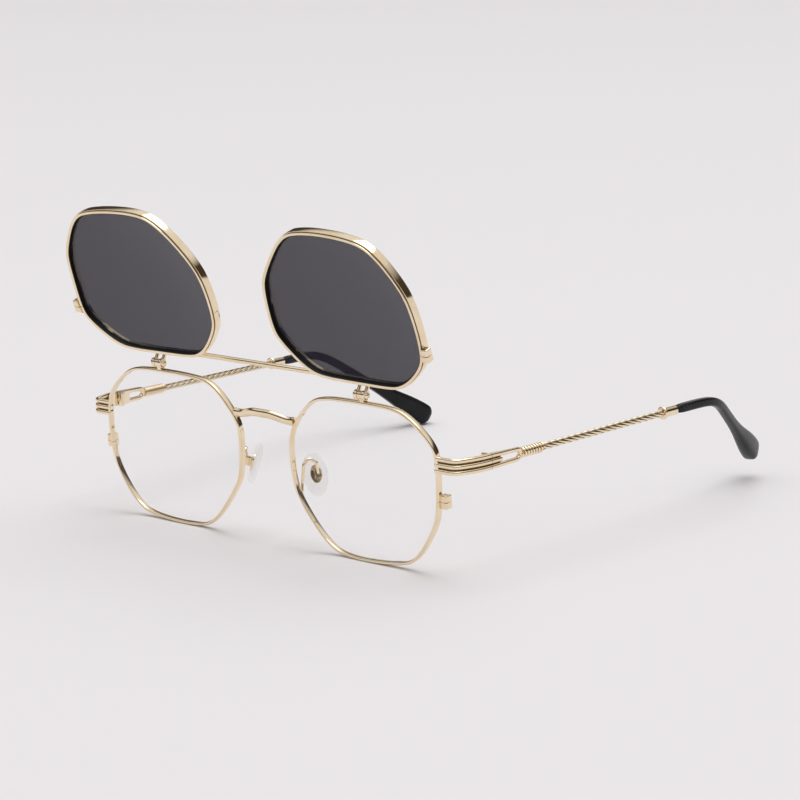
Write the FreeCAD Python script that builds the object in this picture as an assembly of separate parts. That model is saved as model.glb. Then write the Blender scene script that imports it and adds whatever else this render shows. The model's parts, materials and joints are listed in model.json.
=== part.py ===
import FreeCAD, Part
import math
import os

from FreeCAD import Placement, Rotation, Vector

# Flip-up sunglasses: a gold metal frame with clear lenses, and a clip with grey lenses that turns
# up on two small barrel hinges above the rims. Millimetres. The pieces are laid out on the front:
# X to the wearer's left, Y to the back of the head, Z up, with zero midway between the lenses,
# at the foremost point of their dish. The whole is then set down on its rims and tips.

# Rims: rounded octagons, dished like the lenses that they hold
nose_gap = 20.0
rim_half_width = 27.4
rim_half_height = 23.4
rim_wall = 1.1
rim_depth = 2.0
rim_edge_round = 0.28
dish_radius = 130.0
corner_shares = (
    (-0.606, 0.991), (0.551, 1.0), (0.996, 0.543), (0.967, -0.342),
    (0.599, -0.974), (-0.467, -1.017), (-0.974, -0.286), (-1.007, 0.449))
corner_radius_shares = (0.68, 0.80, 0.56, 0.50, 0.62, 0.80, 0.82, 0.41)

# Lenses: a plate with a tongue round its edge, held in the groove of the rim
lens_thickness = 1.5
groove_depth = 0.4
groove_width = 0.7
seat_clearance = 0.03

# Rim locks: a split block and a screw that close each rim on its lens
lock_height = -2.2
clip_lock_height = 10.0
lock_proud = 2.3
lock_depth = 2.6
lock_setback = 0.8
clip_lock_setback = 0.5
lock_tall = 4.0
lock_edge_round = 0.35
slit_gap = 0.2
lock_screw_radius = 0.5
lock_head_radius = 0.85
lock_head_height = 0.5

# Clip: rims of the same outline, hung in front of the main ones
clip_gap = 1.6
clip_depth = 2.4
clip_outset = 1.8
clip_oversize = 0.2
clip_bar_radius = 0.7
clip_bar_inset = 7.2
clip_bar_low = 0.1
clip_bar_sink = 0.25

# Flip hinges
flip_axis_rise = 2.75
flip_axis_depth = 2.1
flip_hinge_offset = 2.4
flip_knuckle_radius = 1.2
flip_knuckle_width = 1.5
flip_knuckle_gap = 0.06
flip_pin_radius = 0.4
flip_post_width = 1.4
flip_lug_width = 1.2
flip_turn = 163.6
running_clearance = 0.04

# Bridge
bridge_wire_radius = 0.85
bridge_foot_height = 13.6
bridge_crown_height = 15.8
bridge_crown_forward = 2.2
bridge_bend_radius = 4.0
bridge_knee_share = 0.78
bridge_crown_share = 0.42

# Temples: the line of each one starts at the seam with its end piece
seam_reach = 9.0
seam_depth = 15.6
seam_height = 7.5
temple_splay = 3.85
temple_drop = 5.08
# The pair is a little out of true: the left temple sits up by this angle and the right one down
temple_twist = 1.0
seam_gap = 0.1
ridge_pitch = 1.62
ridge_radius = 0.93
ridge_back = 0.55
end_bend_radius = 7.0
end_piece_forward = 0.2

# Fork, ferrule, rope and collar along the temple
fork_length = 13.0
fork_end_share = 0.94
fork_corner_radius = 1.9
slot_start = 4.7
slot_length = 6.2
slot_height = 1.4
ferrule_length = 9.4
ferrule_radius = 1.5
ferrule_rib_count = 10
ferrule_rib_height = 0.16
ferrule_plain_share = 0.12
rope_length = 54.6
rope_strand_count = 5
rope_strand_radius = 0.45
rope_strand_offset = 0.62
rope_pitch = 14.5
collar_length = 6.2
collar_radius = 1.5
collar_bead_radius = 0.45
temple_core_radius = 0.6

# Tips
tip_straight = 20.5
tip_reach = 41.8
tip_inset = 16.6
tip_fall = 27.6
tip_bend_radius = 17.0
tip_neck = 2.7
tip_end_height = 6.5
tip_end_width = 3.0
tip_end_radius = 2.6
tip_core_share = 0.82
tip_height_shares = (0.0, 0.0, 0.02, 0.1, 0.3, 0.68, 0.95, 1.0)

# Temple hinges
hinge_inset = 2.1
hinge_radius = 1.05
hinge_knuckle_count = 3
hinge_screw_radius = 0.45
hinge_knuckle_height = 1.3
hinge_knuckle_gap = 0.05
hinge_leaf_length = 4.6
hinge_leaf_thickness = 0.9
hinge_head_radius = 0.8
hinge_head_height = 0.4

# Nose pads
pad_half_spacing = 13.2
pad_depth = 10.3
pad_height = -3.2
pad_splay = 28.0
pad_lean = 18.0
pad_half_length = 6.6
pad_half_width = 3.9
pad_thickness = 1.9
pad_edge_round = 0.7
pad_standoff = 0.7
core_half_length = 2.7
core_half_width = 1.7
core_thickness = 0.5
stem_width = 1.0
stem_height = 1.3
stem_reach = 0.65
box_cheek = 0.5
box_half_height = 1.15
box_depth = 1.5
box_back = 0.55
box_nose = 0.3
pad_pin_radius = 0.28

# Pad arms: a wire from the nasal wall of the rim, up, round a loop and down to the pad box
arm_wire_radius = 0.45
arm_foot_height = -8.2
arm_bend_radius = 1.1
arm_loop_height = 2.0

# Shares of the sizes that they shape
driver_slot_share = 0.35
driver_depth_share = 0.4
lock_screw_out_share = 0.5
pin_head_share = 0.8
bar_end_share = 0.6
half_share = 0.5
tip_round_shares = (0.3, 0.55, 0.75, 0.9)
arm_shares = ((-0.3, 0.25, 0.3), (-0.4, 0.45, 0.85), (-0.1, 0.75, 1.0), (0.9, 0.98, 0.85))

overrun = 20.0
quarter_turn = 90.0
full_turn = 360.0
tilt_steps = 8
grouped_names = ("rim_lock_screw", "pad_pin", "clip_lock_screw", "flip_pin")

origin = Vector(0, 0, 0)
axis_x = Vector(1, 0, 0)
axis_y = Vector(0, 1, 0)
axis_z = Vector(0, 0, 1)

rim_centre_x = rim_half_width + nose_gap / 2
flip_hinge_x = rim_centre_x + flip_hinge_offset
flip_axis_height = rim_half_height + flip_axis_rise
seam_x = rim_centre_x + rim_half_width + seam_reach
clip_front = -(clip_gap + clip_depth)
clip_back = -clip_gap
outer_grow = rim_wall / 2
inner_grow = -rim_wall / 2
flip_axis = Vector(0, flip_axis_depth, flip_axis_height)
flip_up = Placement(origin, Rotation(axis_x, -flip_turn), flip_axis)

pad_frame = Placement(
    Vector(pad_half_spacing, pad_depth, pad_height),
    Rotation(axis_z, -pad_splay) * Rotation(axis_y, -pad_lean))


def temple_frame(twist):
    """The seam of a left temple, with Y back along the temple and X outwards."""
    rise = seam_depth * math.tan(math.radians(twist))
    place = Vector(seam_x, seam_depth, seam_height + rise)
    turn = Rotation(axis_x, twist - temple_drop) * Rotation(axis_z, -temple_splay)
    return Placement(place, turn)


def corner_points(grow):
    """The outline's corners in X and Z, each edge moved out by grow."""
    points = [Vector(x * rim_half_width, 0, z * rim_half_height) for x, z in corner_shares]
    moved = []
    for place, point in enumerate(points):
        before = (point - points[place - 1]).normalize()
        after = (points[(place + 1) % len(points)] - point).normalize()
        normal_before = Vector(-before.z, 0, before.x)
        normal_after = Vector(-after.z, 0, after.x)
        spread = normal_before + normal_after
        moved.append(point + spread * (grow / (1 + normal_before.dot(normal_after))))
    return moved


def rounded_wire(points, radii):
    """A closed wire of straight runs and tangent arcs."""
    starts = []
    middles = []
    ends = []
    for place, point in enumerate(points):
        to_before = (points[place - 1] - point).normalize()
        to_after = (points[(place + 1) % len(points)] - point).normalize()
        half_angle = to_before.getAngle(to_after) / 2
        tangent = radii[place] / math.tan(half_angle)
        inward = (to_before + to_after).normalize()
        starts.append(point + to_before * tangent)
        middles.append(point + inward * (radii[place] / math.sin(half_angle) - radii[place]))
        ends.append(point + to_after * tangent)
    edges = []
    for place, start in enumerate(starts):
        edges.append(Part.makeLine(ends[place - 1], start))
        edges.append(Part.Arc(start, middles[place], ends[place]).toShape())
    return Part.Wire(edges)


def outline(grow):
    """The rim's outline, offset by grow from the middle of its wall."""
    radii = [share * rim_half_height + grow for share in corner_radius_shares]
    return rounded_wire(corner_points(grow), radii)


def prism(wire, start, end):
    """A wire in the XZ plane, drawn out along Y."""
    face = Part.Face(wire)
    face.translate(axis_y * start)
    return face.extrude(axis_y * (end - start))


def dish(grow, front, back, outset):
    """A dished plate of the rim's outline, between two depths behind the front of the dish."""
    plate = prism(outline(grow), -overrun, overrun)
    plate.translate(axis_x * outset)
    centre = axis_y * dish_radius
    plate = plate.common(Part.makeSphere(dish_radius - front, centre))
    return plate.cut(Part.makeSphere(dish_radius - back, centre))


def rim_solid(outset, oversize):
    """The space inside the outer wall of a rim, in its place on the front."""
    shape = prism(outline(outer_grow + oversize), -overrun, overrun)
    shape.translate(axis_x * (rim_centre_x + outset))
    return shape


def dish_depth(behind, x, z):
    """How far back a dished surface lies at a place seen from the front."""
    return dish_radius - math.sqrt((dish_radius - behind) ** 2 - x ** 2 - z ** 2)


def outline_crossing(start, direction, grow):
    """Where a line from inside the rim's outline leaves it."""
    far = start + direction * (rim_half_width + rim_half_height)
    return outline(grow).distToShape(Part.makeLine(start, far))[1][0][0]


def ring(front, back, outset, oversize):
    """A rim with soft edges and a groove for the lens."""
    shape = dish(outer_grow + oversize, front, back, outset)
    shape = shape.cut(dish(inner_grow + oversize, front - overrun, back + overrun, outset))
    shape = shape.makeFillet(rim_edge_round, shape.Edges)
    middle = (front + back) / 2
    groove = dish(
        inner_grow + oversize + groove_depth,
        middle - groove_width / 2, middle + groove_width / 2, outset)
    return shape.cut(groove)


def lens_plate(front, back, outset, oversize):
    """A lens with the tongue that sits in the groove."""
    middle = (front + back) / 2
    body = dish(
        inner_grow + oversize - seat_clearance,
        middle - lens_thickness / 2, middle + lens_thickness / 2, outset)
    tongue_half = groove_width / 2 - seat_clearance
    tongue = dish(
        inner_grow + oversize + groove_depth - seat_clearance,
        middle - tongue_half, middle + tongue_half, outset)
    return body.fuse(tongue).removeSplitter()


def slit(height, outset):
    """The saw cut through a rim and its lock."""
    cut = Part.makeBox(rim_half_width, overrun + overrun, slit_gap)
    cut.translate(Vector(outset + rim_half_width / 2, -overrun, height - slit_gap / 2))
    return cut


def lock_place(height, front, setback, outset, oversize):
    """The front of a lock on the rim's wall, halfway up the lock."""
    wall = outline_crossing(axis_z * height, axis_x, outer_grow + oversize).x + outset
    return Vector(wall, dish_depth(front, wall, height) + setback, height)


def lock_block(place, depth, wall):
    """The two lugs of a lock, beside the rim that they close."""
    block = Part.makeBox(lock_proud + rim_wall, depth, lock_tall)
    block.translate(place + Vector(-rim_wall, 0, -lock_tall / 2))
    outer_edges = [edge for edge in block.Edges if edge.CenterOfMass.x > place.x]
    block = block.makeFillet(lock_edge_round, outer_edges)
    return block.cut(wall)


def lock_screw_place(place, depth):
    """The foot of a lock's screw, halfway out on the block."""
    return place + Vector(lock_proud * lock_screw_out_share, depth / 2, -lock_tall / 2)


def cylinder(radius, height, foot, direction):
    """A round bar from its foot along a direction."""
    return Part.makeCylinder(radius, height, foot, direction)


def lock_hole(place, depth):
    """The hole for a lock's screw, with the recess for its head."""
    foot = lock_screw_place(place, depth)
    hole = cylinder(lock_screw_radius + seat_clearance, lock_tall + overrun, foot, axis_z)
    recess_foot = foot + axis_z * (lock_tall - lock_head_height)
    return hole.fuse(cylinder(lock_head_radius + seat_clearance, overrun, recess_foot, axis_z))


def lock_screw(place, depth):
    """A screw with a sunk head and a driver slot."""
    foot = lock_screw_place(place, depth)
    shaft = cylinder(lock_screw_radius, lock_tall - lock_head_height, foot, axis_z)
    head_foot = foot + axis_z * (lock_tall - lock_head_height)
    head = cylinder(lock_head_radius, lock_head_height, head_foot, axis_z)
    return slotted(shaft.fuse(head), head_foot, lock_head_radius, lock_head_height)


def slotted(screw, head_foot, head_radius, head_height):
    """A screw whose head has a driver slot across it."""
    width = head_radius * driver_slot_share
    groove = Part.makeBox(head_radius * 2 + overrun, width, head_height)
    corner = Vector(-head_radius - overrun / 2, -width / 2, head_height * driver_depth_share)
    groove.translate(head_foot + corner)
    return screw.cut(groove).removeSplitter()


def tangent_path(points, radius):
    """An open wire of straight runs joined by tangent arcs of one radius."""
    edges = []
    start = points[0]
    for place in range(1, len(points) - 1):
        point = points[place]
        to_before = (points[place - 1] - point).normalize()
        to_after = (points[place + 1] - point).normalize()
        half_angle = to_before.getAngle(to_after) / 2
        tangent = radius / math.tan(half_angle)
        inward = (to_before + to_after).normalize()
        arc_start = point + to_before * tangent
        arc_end = point + to_after * tangent
        middle = point + inward * (radius / math.sin(half_angle) - radius)
        edges.append(Part.makeLine(start, arc_start))
        edges.append(Part.Arc(arc_start, middle, arc_end).toShape())
        start = arc_end
    edges.append(Part.makeLine(start, points[-1]))
    return Part.Wire(edges)


def swept(path, profile):
    """A closed profile carried along a path."""
    return path.makePipeShell([profile], True, False)


def wire_along(points, bend_radius, wire_radius):
    """A round wire bent along points."""
    path = tangent_path(points, bend_radius)
    direction = points[1] - points[0]
    profile = Part.Wire([Part.makeCircle(wire_radius, points[0], direction)])
    return swept(path, profile)


def placed(shape, placement):
    """A copy of a shape, moved from a local frame into the front's."""
    return shape.transformed(placement.toMatrix(), True)


def bridge():
    """The saddle wire between the rims, bowed up and forward in the middle."""
    wall = rim_centre_x + outline_crossing(axis_z * bridge_foot_height, -axis_x, 0).x
    depth = dish_depth(rim_depth / 2, wall - rim_centre_x, bridge_foot_height)
    knee = wall * bridge_knee_share
    crown = wall * bridge_crown_share
    crown_depth = depth - bridge_crown_forward
    points = [
        Vector(-wall, depth, bridge_foot_height), Vector(-knee, depth, bridge_foot_height),
        Vector(-crown, crown_depth, bridge_crown_height),
        Vector(crown, crown_depth, bridge_crown_height),
        Vector(knee, depth, bridge_foot_height), Vector(wall, depth, bridge_foot_height)]
    return wire_along(points, bridge_bend_radius, bridge_wire_radius)


def flip_knuckles(width, centres):
    """Barrels on the flip axis, one at each centre along X."""
    barrels = []
    for centre in centres:
        foot = flip_axis + axis_x * (centre - width / 2)
        barrels.append(cylinder(flip_knuckle_radius, width, foot, axis_x))
    return barrels


def flip_bore(x, radius):
    """A bar through both kinds of knuckle."""
    half = flip_knuckle_width * 2
    return cylinder(radius, half * 2, flip_axis + axis_x * (x - half), axis_x)


def flip_post(x):
    """The barrel that stands on the rim, and the post that carries it."""
    top = outline_crossing(axis_x * (x - rim_centre_x), axis_z, 0)
    depth = dish_depth(rim_depth / 2, top.x, top.z)
    barrel = flip_knuckles(flip_knuckle_width, [x])[0]
    lean = Vector(0, flip_axis_depth - depth, flip_axis_height - top.z)
    post = Part.makeBox(flip_knuckle_width, flip_post_width, lean.Length)
    post.translate(Vector(-flip_knuckle_width / 2, -flip_post_width / 2, 0))
    turn = Rotation(axis_z, lean)
    post = placed(post, Placement(Vector(x, depth, top.z), turn))
    post = post.cut(rim_solid(0, 0))
    return post.fuse(barrel).cut(flip_bore(x, flip_pin_radius + running_clearance))


def flip_lug(x):
    """The two barrels on the clip, and the foot that joins them to its rim."""
    step = flip_knuckle_width / 2 + flip_knuckle_gap + flip_lug_width / 2
    barrels = flip_knuckles(flip_lug_width, [x - step, x + step])
    place_x = x - rim_centre_x
    top = outline_crossing(axis_x * (place_x - clip_outset), axis_z, clip_oversize)
    depth = dish_depth((clip_front + clip_back) / 2, place_x, top.z)
    lean = Vector(0, flip_axis_depth - depth, flip_axis_height - top.z)
    turn = Rotation(axis_z, lean)
    ears = []
    for barrel, centre in zip(barrels, (x - step, x + step)):
        foot = Part.makeBox(flip_lug_width, flip_post_width, lean.Length)
        foot.translate(Vector(-flip_lug_width / 2, -flip_post_width / 2, 0))
        foot = placed(foot, Placement(Vector(centre, depth, top.z), turn))
        ears.append(foot.cut(rim_solid(clip_outset, clip_oversize)).fuse(barrel))
    return Part.makeCompound(ears).cut(flip_bore(x, flip_pin_radius + seat_clearance))


def flip_pin(x):
    """The pin through the barrels, with a domed end on both sides."""
    half = flip_knuckle_width / 2 + flip_knuckle_gap + flip_lug_width
    pin = cylinder(flip_pin_radius, half * 2, flip_axis + axis_x * (x - half), axis_x)
    for side in (-1, 1):
        base = flip_axis + axis_x * (x + side * half)
        head = Part.makeSphere(flip_knuckle_radius * pin_head_share, base)
        room = Part.makeBox(overrun, overrun, overrun)
        low = Vector(0 if side > 0 else -overrun, -overrun / 2, -overrun / 2)
        room.translate(base + low)
        pin = pin.fuse(head.common(room))
    return pin.removeSplitter()


def clip_bar(clip_rims):
    """The straight bar across the tops of the clip's two rims."""
    half_length = rim_centre_x - clip_bar_inset
    height = rim_half_height - clip_bar_low
    front = dish_depth(clip_front, clip_bar_inset, height)
    foot = Vector(-half_length, front - clip_bar_radius + clip_bar_sink, height)
    bar = cylinder(clip_bar_radius, half_length * 2, foot, axis_x)
    bar = bar.makeFillet(clip_bar_radius * bar_end_share, bar.Edges)
    for rim_shape in clip_rims:
        bar = bar.cut(rim_shape)
    return bar


def ridge_profile(share):
    """Three round ridges on the outside and a flat back, in X and Z."""
    pitch = ridge_pitch * share
    radius = ridge_radius * share
    groove = math.sqrt(radius ** 2 - (pitch / 2) ** 2)
    overhang = math.sqrt(radius ** 2 - ridge_back ** 2)
    slope = radius * math.sqrt(half_share)
    foot = Vector(-ridge_back, 0, -pitch - overhang)
    low = Vector(groove, 0, -pitch / 2)
    high = Vector(groove, 0, pitch / 2)
    head = Vector(-ridge_back, 0, pitch + overhang)
    edges = [
        Part.Arc(foot, Vector(slope, 0, -pitch - slope), low).toShape(),
        Part.Arc(low, Vector(radius, 0, 0), high).toShape(),
        Part.Arc(high, Vector(slope, 0, pitch + slope), head).toShape(),
        Part.makeLine(head, foot)]
    return Part.Wire(edges)


def end_piece(frame):
    """The ridged arm from the rim round to the seam."""
    splay = math.radians(temple_splay)
    across = Vector(math.cos(splay), math.sin(splay), 0)
    wall = outline_crossing(axis_z * seam_height, axis_x, 0).x
    setback = seam_depth - dish_depth(rim_depth / 2, wall, seam_height) + end_piece_forward
    corner = Vector(0, -setback / math.cos(splay), 0)
    inward = (seam_x - rim_centre_x - wall) / math.cos(splay)
    points = [Vector(0, -seam_gap, 0), corner, corner - across * inward]
    path = tangent_path(points, end_bend_radius)
    profile = ridge_profile(1)
    profile.translate(Vector(0, -seam_gap, 0))
    return placed(swept(path, profile), frame).cut(rim_solid(0, 0))


def temple_fork():
    """The ridged fork, with a slot through it and a tang that the ferrule sits on."""
    near = ridge_profile(1)
    far = ridge_profile(fork_end_share)
    far.translate(axis_y * fork_length)
    shape = Part.makeLoft([near, far], True, True)
    reach = ridge_pitch + ridge_radius
    points = [
        Vector(0, -overrun, -reach), Vector(0, fork_length, -reach),
        Vector(0, fork_length, reach), Vector(0, -overrun, reach)]
    side = Part.Face(rounded_wire(points, [fork_corner_radius] * len(points)))
    side.translate(axis_x * -overrun)
    shape = shape.common(side.extrude(axis_x * (overrun + overrun)))
    tang = cylinder(temple_core_radius, ferrule_length, axis_y * fork_length, axis_y)
    return shape.cut(fork_slot()).fuse(tang)


def fork_slot():
    """The slot through the fork, round at both ends."""
    radius = slot_height / 2
    start = Vector(-overrun, slot_start + radius, 0)
    run = slot_length - slot_height
    slot = cylinder(radius, overrun * 2, start, axis_x)
    slot = slot.fuse(cylinder(radius, overrun * 2, start + axis_y * run, axis_x))
    middle = Part.makeBox(overrun * 2, run, slot_height)
    middle.translate(start - axis_z * radius)
    return slot.fuse(middle)


def turned(points):
    """A solid turned about the temple's line from radius and place pairs."""
    corners = [Vector(radius, place, 0) for radius, place in points]
    wire = Part.makePolygon(corners + corners[:1])
    return Part.Face(wire).revolve(origin, axis_y, full_turn)


def ferrule():
    """The ribbed sleeve between the fork and the rope."""
    plain = ferrule_length * ferrule_plain_share
    step = (ferrule_length - plain * 2) / ferrule_rib_count
    root = ferrule_radius - ferrule_rib_height
    bore = temple_core_radius + seat_clearance
    points = [(bore, 0), (root, 0), (ferrule_radius, ferrule_rib_height), (ferrule_radius, plain)]
    for rib in range(ferrule_rib_count):
        start = plain + rib * step
        points.append((root, start + step * half_share))
        points.append((ferrule_radius, start + step))
    points.append((ferrule_radius, ferrule_length - ferrule_rib_height))
    points.append((root, ferrule_length))
    points.append((bore, ferrule_length))
    shape = turned(points)
    shape.translate(axis_y * fork_length)
    return shape


def rope():
    """The twisted strands of the temple, as one laid rope."""
    half_step = math.pi / rope_strand_count
    groove_out = rope_strand_offset * math.cos(half_step)
    groove_in = math.sqrt(rope_strand_radius ** 2 - (rope_strand_offset * math.sin(half_step)) ** 2)
    groove = groove_out + groove_in
    crest = rope_strand_offset + rope_strand_radius
    edges = []
    for strand in range(rope_strand_count):
        turn = 2 * math.pi * strand / rope_strand_count
        corners = [(turn - half_step, groove), (turn, crest), (turn + half_step, groove)]
        points = [Vector(math.cos(angle) * reach, 0, -math.sin(angle) * reach) for angle, reach in corners]
        edges.append(Part.Arc(*points).toShape())
    start = fork_length + ferrule_length
    spine = Part.Wire([Part.makeLine(origin, axis_y * rope_length)])
    guide = Part.makeHelix(rope_pitch, rope_length, crest)
    guide = placed(guide, Placement(origin, Rotation(axis_x, -quarter_turn)))
    sweep = Part.BRepOffsetAPI.MakePipeShell(spine)
    sweep.setAuxiliarySpine(Part.Wire(guide.Edges), True, 0)
    sweep.add(Part.Wire(edges))
    sweep.build()
    sweep.makeSolid()
    shape = sweep.shape()
    shape.translate(axis_y * start)
    return shape


def collar():
    """The sleeve behind the rope, with a bead round its front end."""
    start = fork_length + ferrule_length + rope_length
    bore = temple_core_radius + seat_clearance
    inner = Part.makeCylinder(bore, collar_length, axis_y * start, axis_y)
    sleeve = Part.makeCylinder(collar_radius, collar_length, axis_y * start, axis_y)
    bead_place = axis_y * (start + collar_bead_radius)
    bead = Part.makeTorus(collar_radius, collar_bead_radius, bead_place, axis_y)
    return sleeve.fuse(bead).cut(inner)


def tip_points():
    """The middle line of a tip, from the collar to its end."""
    start = Vector(0, fork_length + ferrule_length + rope_length + collar_length, 0)
    bend = start + axis_y * tip_straight
    return [start, bend, bend + Vector(-tip_inset, tip_reach, -tip_fall)]


def tip_section(point, tangent, height, width):
    """An oval across the tip."""
    side = tangent.cross(axis_z).normalize()
    up = side.cross(tangent).normalize()
    oval = Part.Ellipse(origin, height / 2, width / 2).toShape()
    turn = Rotation(up, side, tangent, "ZXY")
    return placed(Part.Wire([oval]), Placement(point, turn))


def tip_solid():
    """The plastic tip: round at the neck, bent down behind the ear, flat and wide at its end."""
    path = tangent_path(tip_points(), tip_bend_radius)
    length = path.Length - tip_end_radius
    steps = len(tip_height_shares) - 1
    sections = []
    for step, share in enumerate(tip_height_shares):
        height = tip_neck + (tip_end_height - tip_neck) * share
        width = tip_neck + (tip_end_width - tip_neck) * share
        sections.append((length * step / steps, height, width))
    for angle_share in tip_round_shares:
        angle = math.radians(quarter_turn * angle_share)
        place = length + tip_end_radius * math.sin(angle)
        keep = math.cos(angle)
        height = tip_end_height - tip_end_radius * 2 * (1 - keep)
        sections.append((place, height, tip_end_width * keep))
    wires = []
    for place, height, width in sections:
        point, tangent = along(path, place)
        wires.append(tip_section(point, tangent, height, width))
    return Part.makeLoft(wires, True, False)


def along(path, place):
    """The point and direction at a distance along a path."""
    left = place
    for edge in path.OrderedEdges:
        if left <= edge.Length or edge.isSame(path.OrderedEdges[-1]):
            at = edge.getParameterByLength(left)
            return edge.valueAt(at), edge.tangentAt(at)
        left -= edge.Length


def core_points():
    """The line of the core wire, from the front of the collar to inside the tip."""
    start, bend, end = tip_points()
    stop = bend + (end - bend) * tip_core_share
    return [start - axis_y * collar_length, bend, stop]


def hinge_leaf(direction, lows):
    """One leaf of a temple hinge: a plate inside the temple, with its knuckles."""
    clear = hinge_radius + seam_gap
    total = hinge_height()
    plate_x = -ridge_back - hinge_leaf_thickness
    shape = Part.makeBox(hinge_leaf_thickness, hinge_leaf_length - clear, total)
    shape.translate(Vector(plate_x, clear, -total / 2))
    for low in lows:
        neck = Part.makeBox(hinge_leaf_thickness, clear - seam_gap, hinge_knuckle_height)
        neck.translate(Vector(plate_x, seam_gap, low))
        barrel = cylinder(hinge_radius, hinge_knuckle_height, Vector(-hinge_inset, 0, low), axis_z)
        shape = shape.fuse(neck).fuse(barrel)
    if direction < 0:
        shape = shape.mirror(origin, axis_y)
    return shape.cut(hinge_bore())


def hinge_height():
    """The height of all the knuckles of one hinge together."""
    return hinge_knuckle_height * hinge_knuckle_count + hinge_knuckle_gap * (hinge_knuckle_count - 1)


def hinge_lows():
    """The undersides of the knuckles, from the lowest up."""
    step = hinge_knuckle_height + hinge_knuckle_gap
    return [step * knuckle - hinge_height() / 2 for knuckle in range(hinge_knuckle_count)]


def hinge_bore():
    """The hole through the knuckles for the screw."""
    foot = Vector(-hinge_inset, 0, -overrun)
    return cylinder(hinge_screw_radius + running_clearance, overrun * 2, foot, axis_z)


def hinge_screw():
    """The screw that the temple turns on, its head on the top knuckle."""
    total = hinge_height()
    foot = Vector(-hinge_inset, 0, -total / 2)
    shaft = cylinder(hinge_screw_radius, total + hinge_knuckle_gap, foot, axis_z)
    head_foot = foot + axis_z * (total + hinge_knuckle_gap)
    head = cylinder(hinge_head_radius, hinge_head_height, head_foot, axis_z)
    return slotted(shaft.fuse(head), head_foot, hinge_head_radius, hinge_head_height)


def oval_plate(half_length, half_width, low, high):
    """An oval plate across X, longest in Z."""
    oval = Part.Wire([Part.Ellipse(origin, half_length, half_width).toShape()])
    turn = Rotation(axis_z, axis_y, -axis_x, "ZXY")
    face = Part.Face(placed(oval, Placement(axis_x * low, turn)))
    return face.extrude(axis_x * (high - low))


def pad_core():
    """The metal plate set into the pad, with the stem that the pin goes through."""
    plate_high = -pad_standoff
    plate = oval_plate(core_half_length, core_half_width, plate_high - core_thickness, plate_high)
    stem = Part.makeBox(stem_reach + pad_standoff, stem_width, stem_height)
    stem.translate(Vector(-pad_standoff, -stem_width / 2, -stem_height / 2))
    return plate.fuse(stem).cut(pad_pin_bar(pad_pin_radius + running_clearance))


def pad_pin_bar(radius):
    """A bar along the axis that the pad rocks on."""
    half = stem_width / 2 + seat_clearance + box_cheek
    return cylinder(radius, half * 2, axis_y * -half, axis_y)


def nose_pad():
    """The soft oval pad, hollowed for its core."""
    high = -pad_standoff
    pad = oval_plate(pad_half_length, pad_half_width, high - pad_thickness, high)
    pad = pad.makeFillet(pad_edge_round, pad.Edges)
    pocket = oval_plate(
        core_half_length + seat_clearance, core_half_width + seat_clearance,
        high - core_thickness - seat_clearance, high + overrun)
    return pad.cut(pocket)


def pad_box():
    """The open box on the end of the pad arm: two cheeks and a back."""
    half = stem_width / 2 + running_clearance + box_cheek
    shape = Part.makeBox(box_depth + box_nose, half * 2, box_half_height * 2)
    shape.translate(Vector(-box_nose, -half, -box_half_height))
    room_half = stem_width / 2 + running_clearance
    room = Part.makeBox(overrun, room_half * 2, overrun)
    room.translate(Vector(box_depth - box_back - overrun, -room_half, -overrun / 2))
    return shape.cut(room).cut(pad_pin_bar(pad_pin_radius + seat_clearance))


def pad_arm(box_shape):
    """The bent wire that carries a pad box, from the wall of the rim."""
    wall = outline_crossing(axis_z * arm_foot_height, -axis_x, 0).x + rim_centre_x
    depth = dish_depth(rim_depth / 2, wall - rim_centre_x, arm_foot_height)
    goal = pad_frame.multVec(Vector(box_depth - box_back / 2, 0, 0))
    foot = Vector(wall, depth, arm_foot_height)
    rise = arm_loop_height - arm_foot_height
    back = goal.y - depth
    side = goal.x - wall
    points = [foot]
    for side_share, back_share, rise_share in arm_shares:
        points.append(foot + Vector(side * side_share, back * back_share, rise * rise_share))
    points.append(goal)
    rim_plate = dish(outer_grow, 0, rim_depth, 0)
    rim_plate.translate(axis_x * rim_centre_x)
    arm = wire_along(points, arm_bend_radius, arm_wire_radius).cut(rim_plate).cut(box_shape)
    return max(arm.Solids, key=lambda solid: solid.Volume)


def front_pieces():
    """The fixed pieces of one side, the wearer's left."""
    to_rim = Placement(axis_x * rim_centre_x, Rotation())
    whole_ring = ring(0, rim_depth, 0, 0)
    place = lock_place(lock_height, 0, lock_setback, 0, 0)
    cut = slit(lock_height, 0)
    hole = lock_hole(place, lock_depth)
    wall = prism(outline(outer_grow), -overrun, overrun)
    lock = lock_block(place, lock_depth, wall).cut(cut).cut(hole)
    rim = placed(whole_ring.cut(cut), to_rim)
    box = placed(pad_box(), pad_frame)
    return {
        "rim": rim,
        "lens": placed(lens_plate(0, rim_depth, 0, 0), to_rim),
        "rim_lock": placed(lock, to_rim),
        "rim_lock_screw": placed(lock_screw(place, lock_depth), to_rim),
        "pad_box": box,
        "pad_pin": placed(pad_pin_bar(pad_pin_radius), pad_frame),
        "pad_arm": pad_arm(box),
        "flip_post": flip_post(flip_hinge_x),
    }


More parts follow.
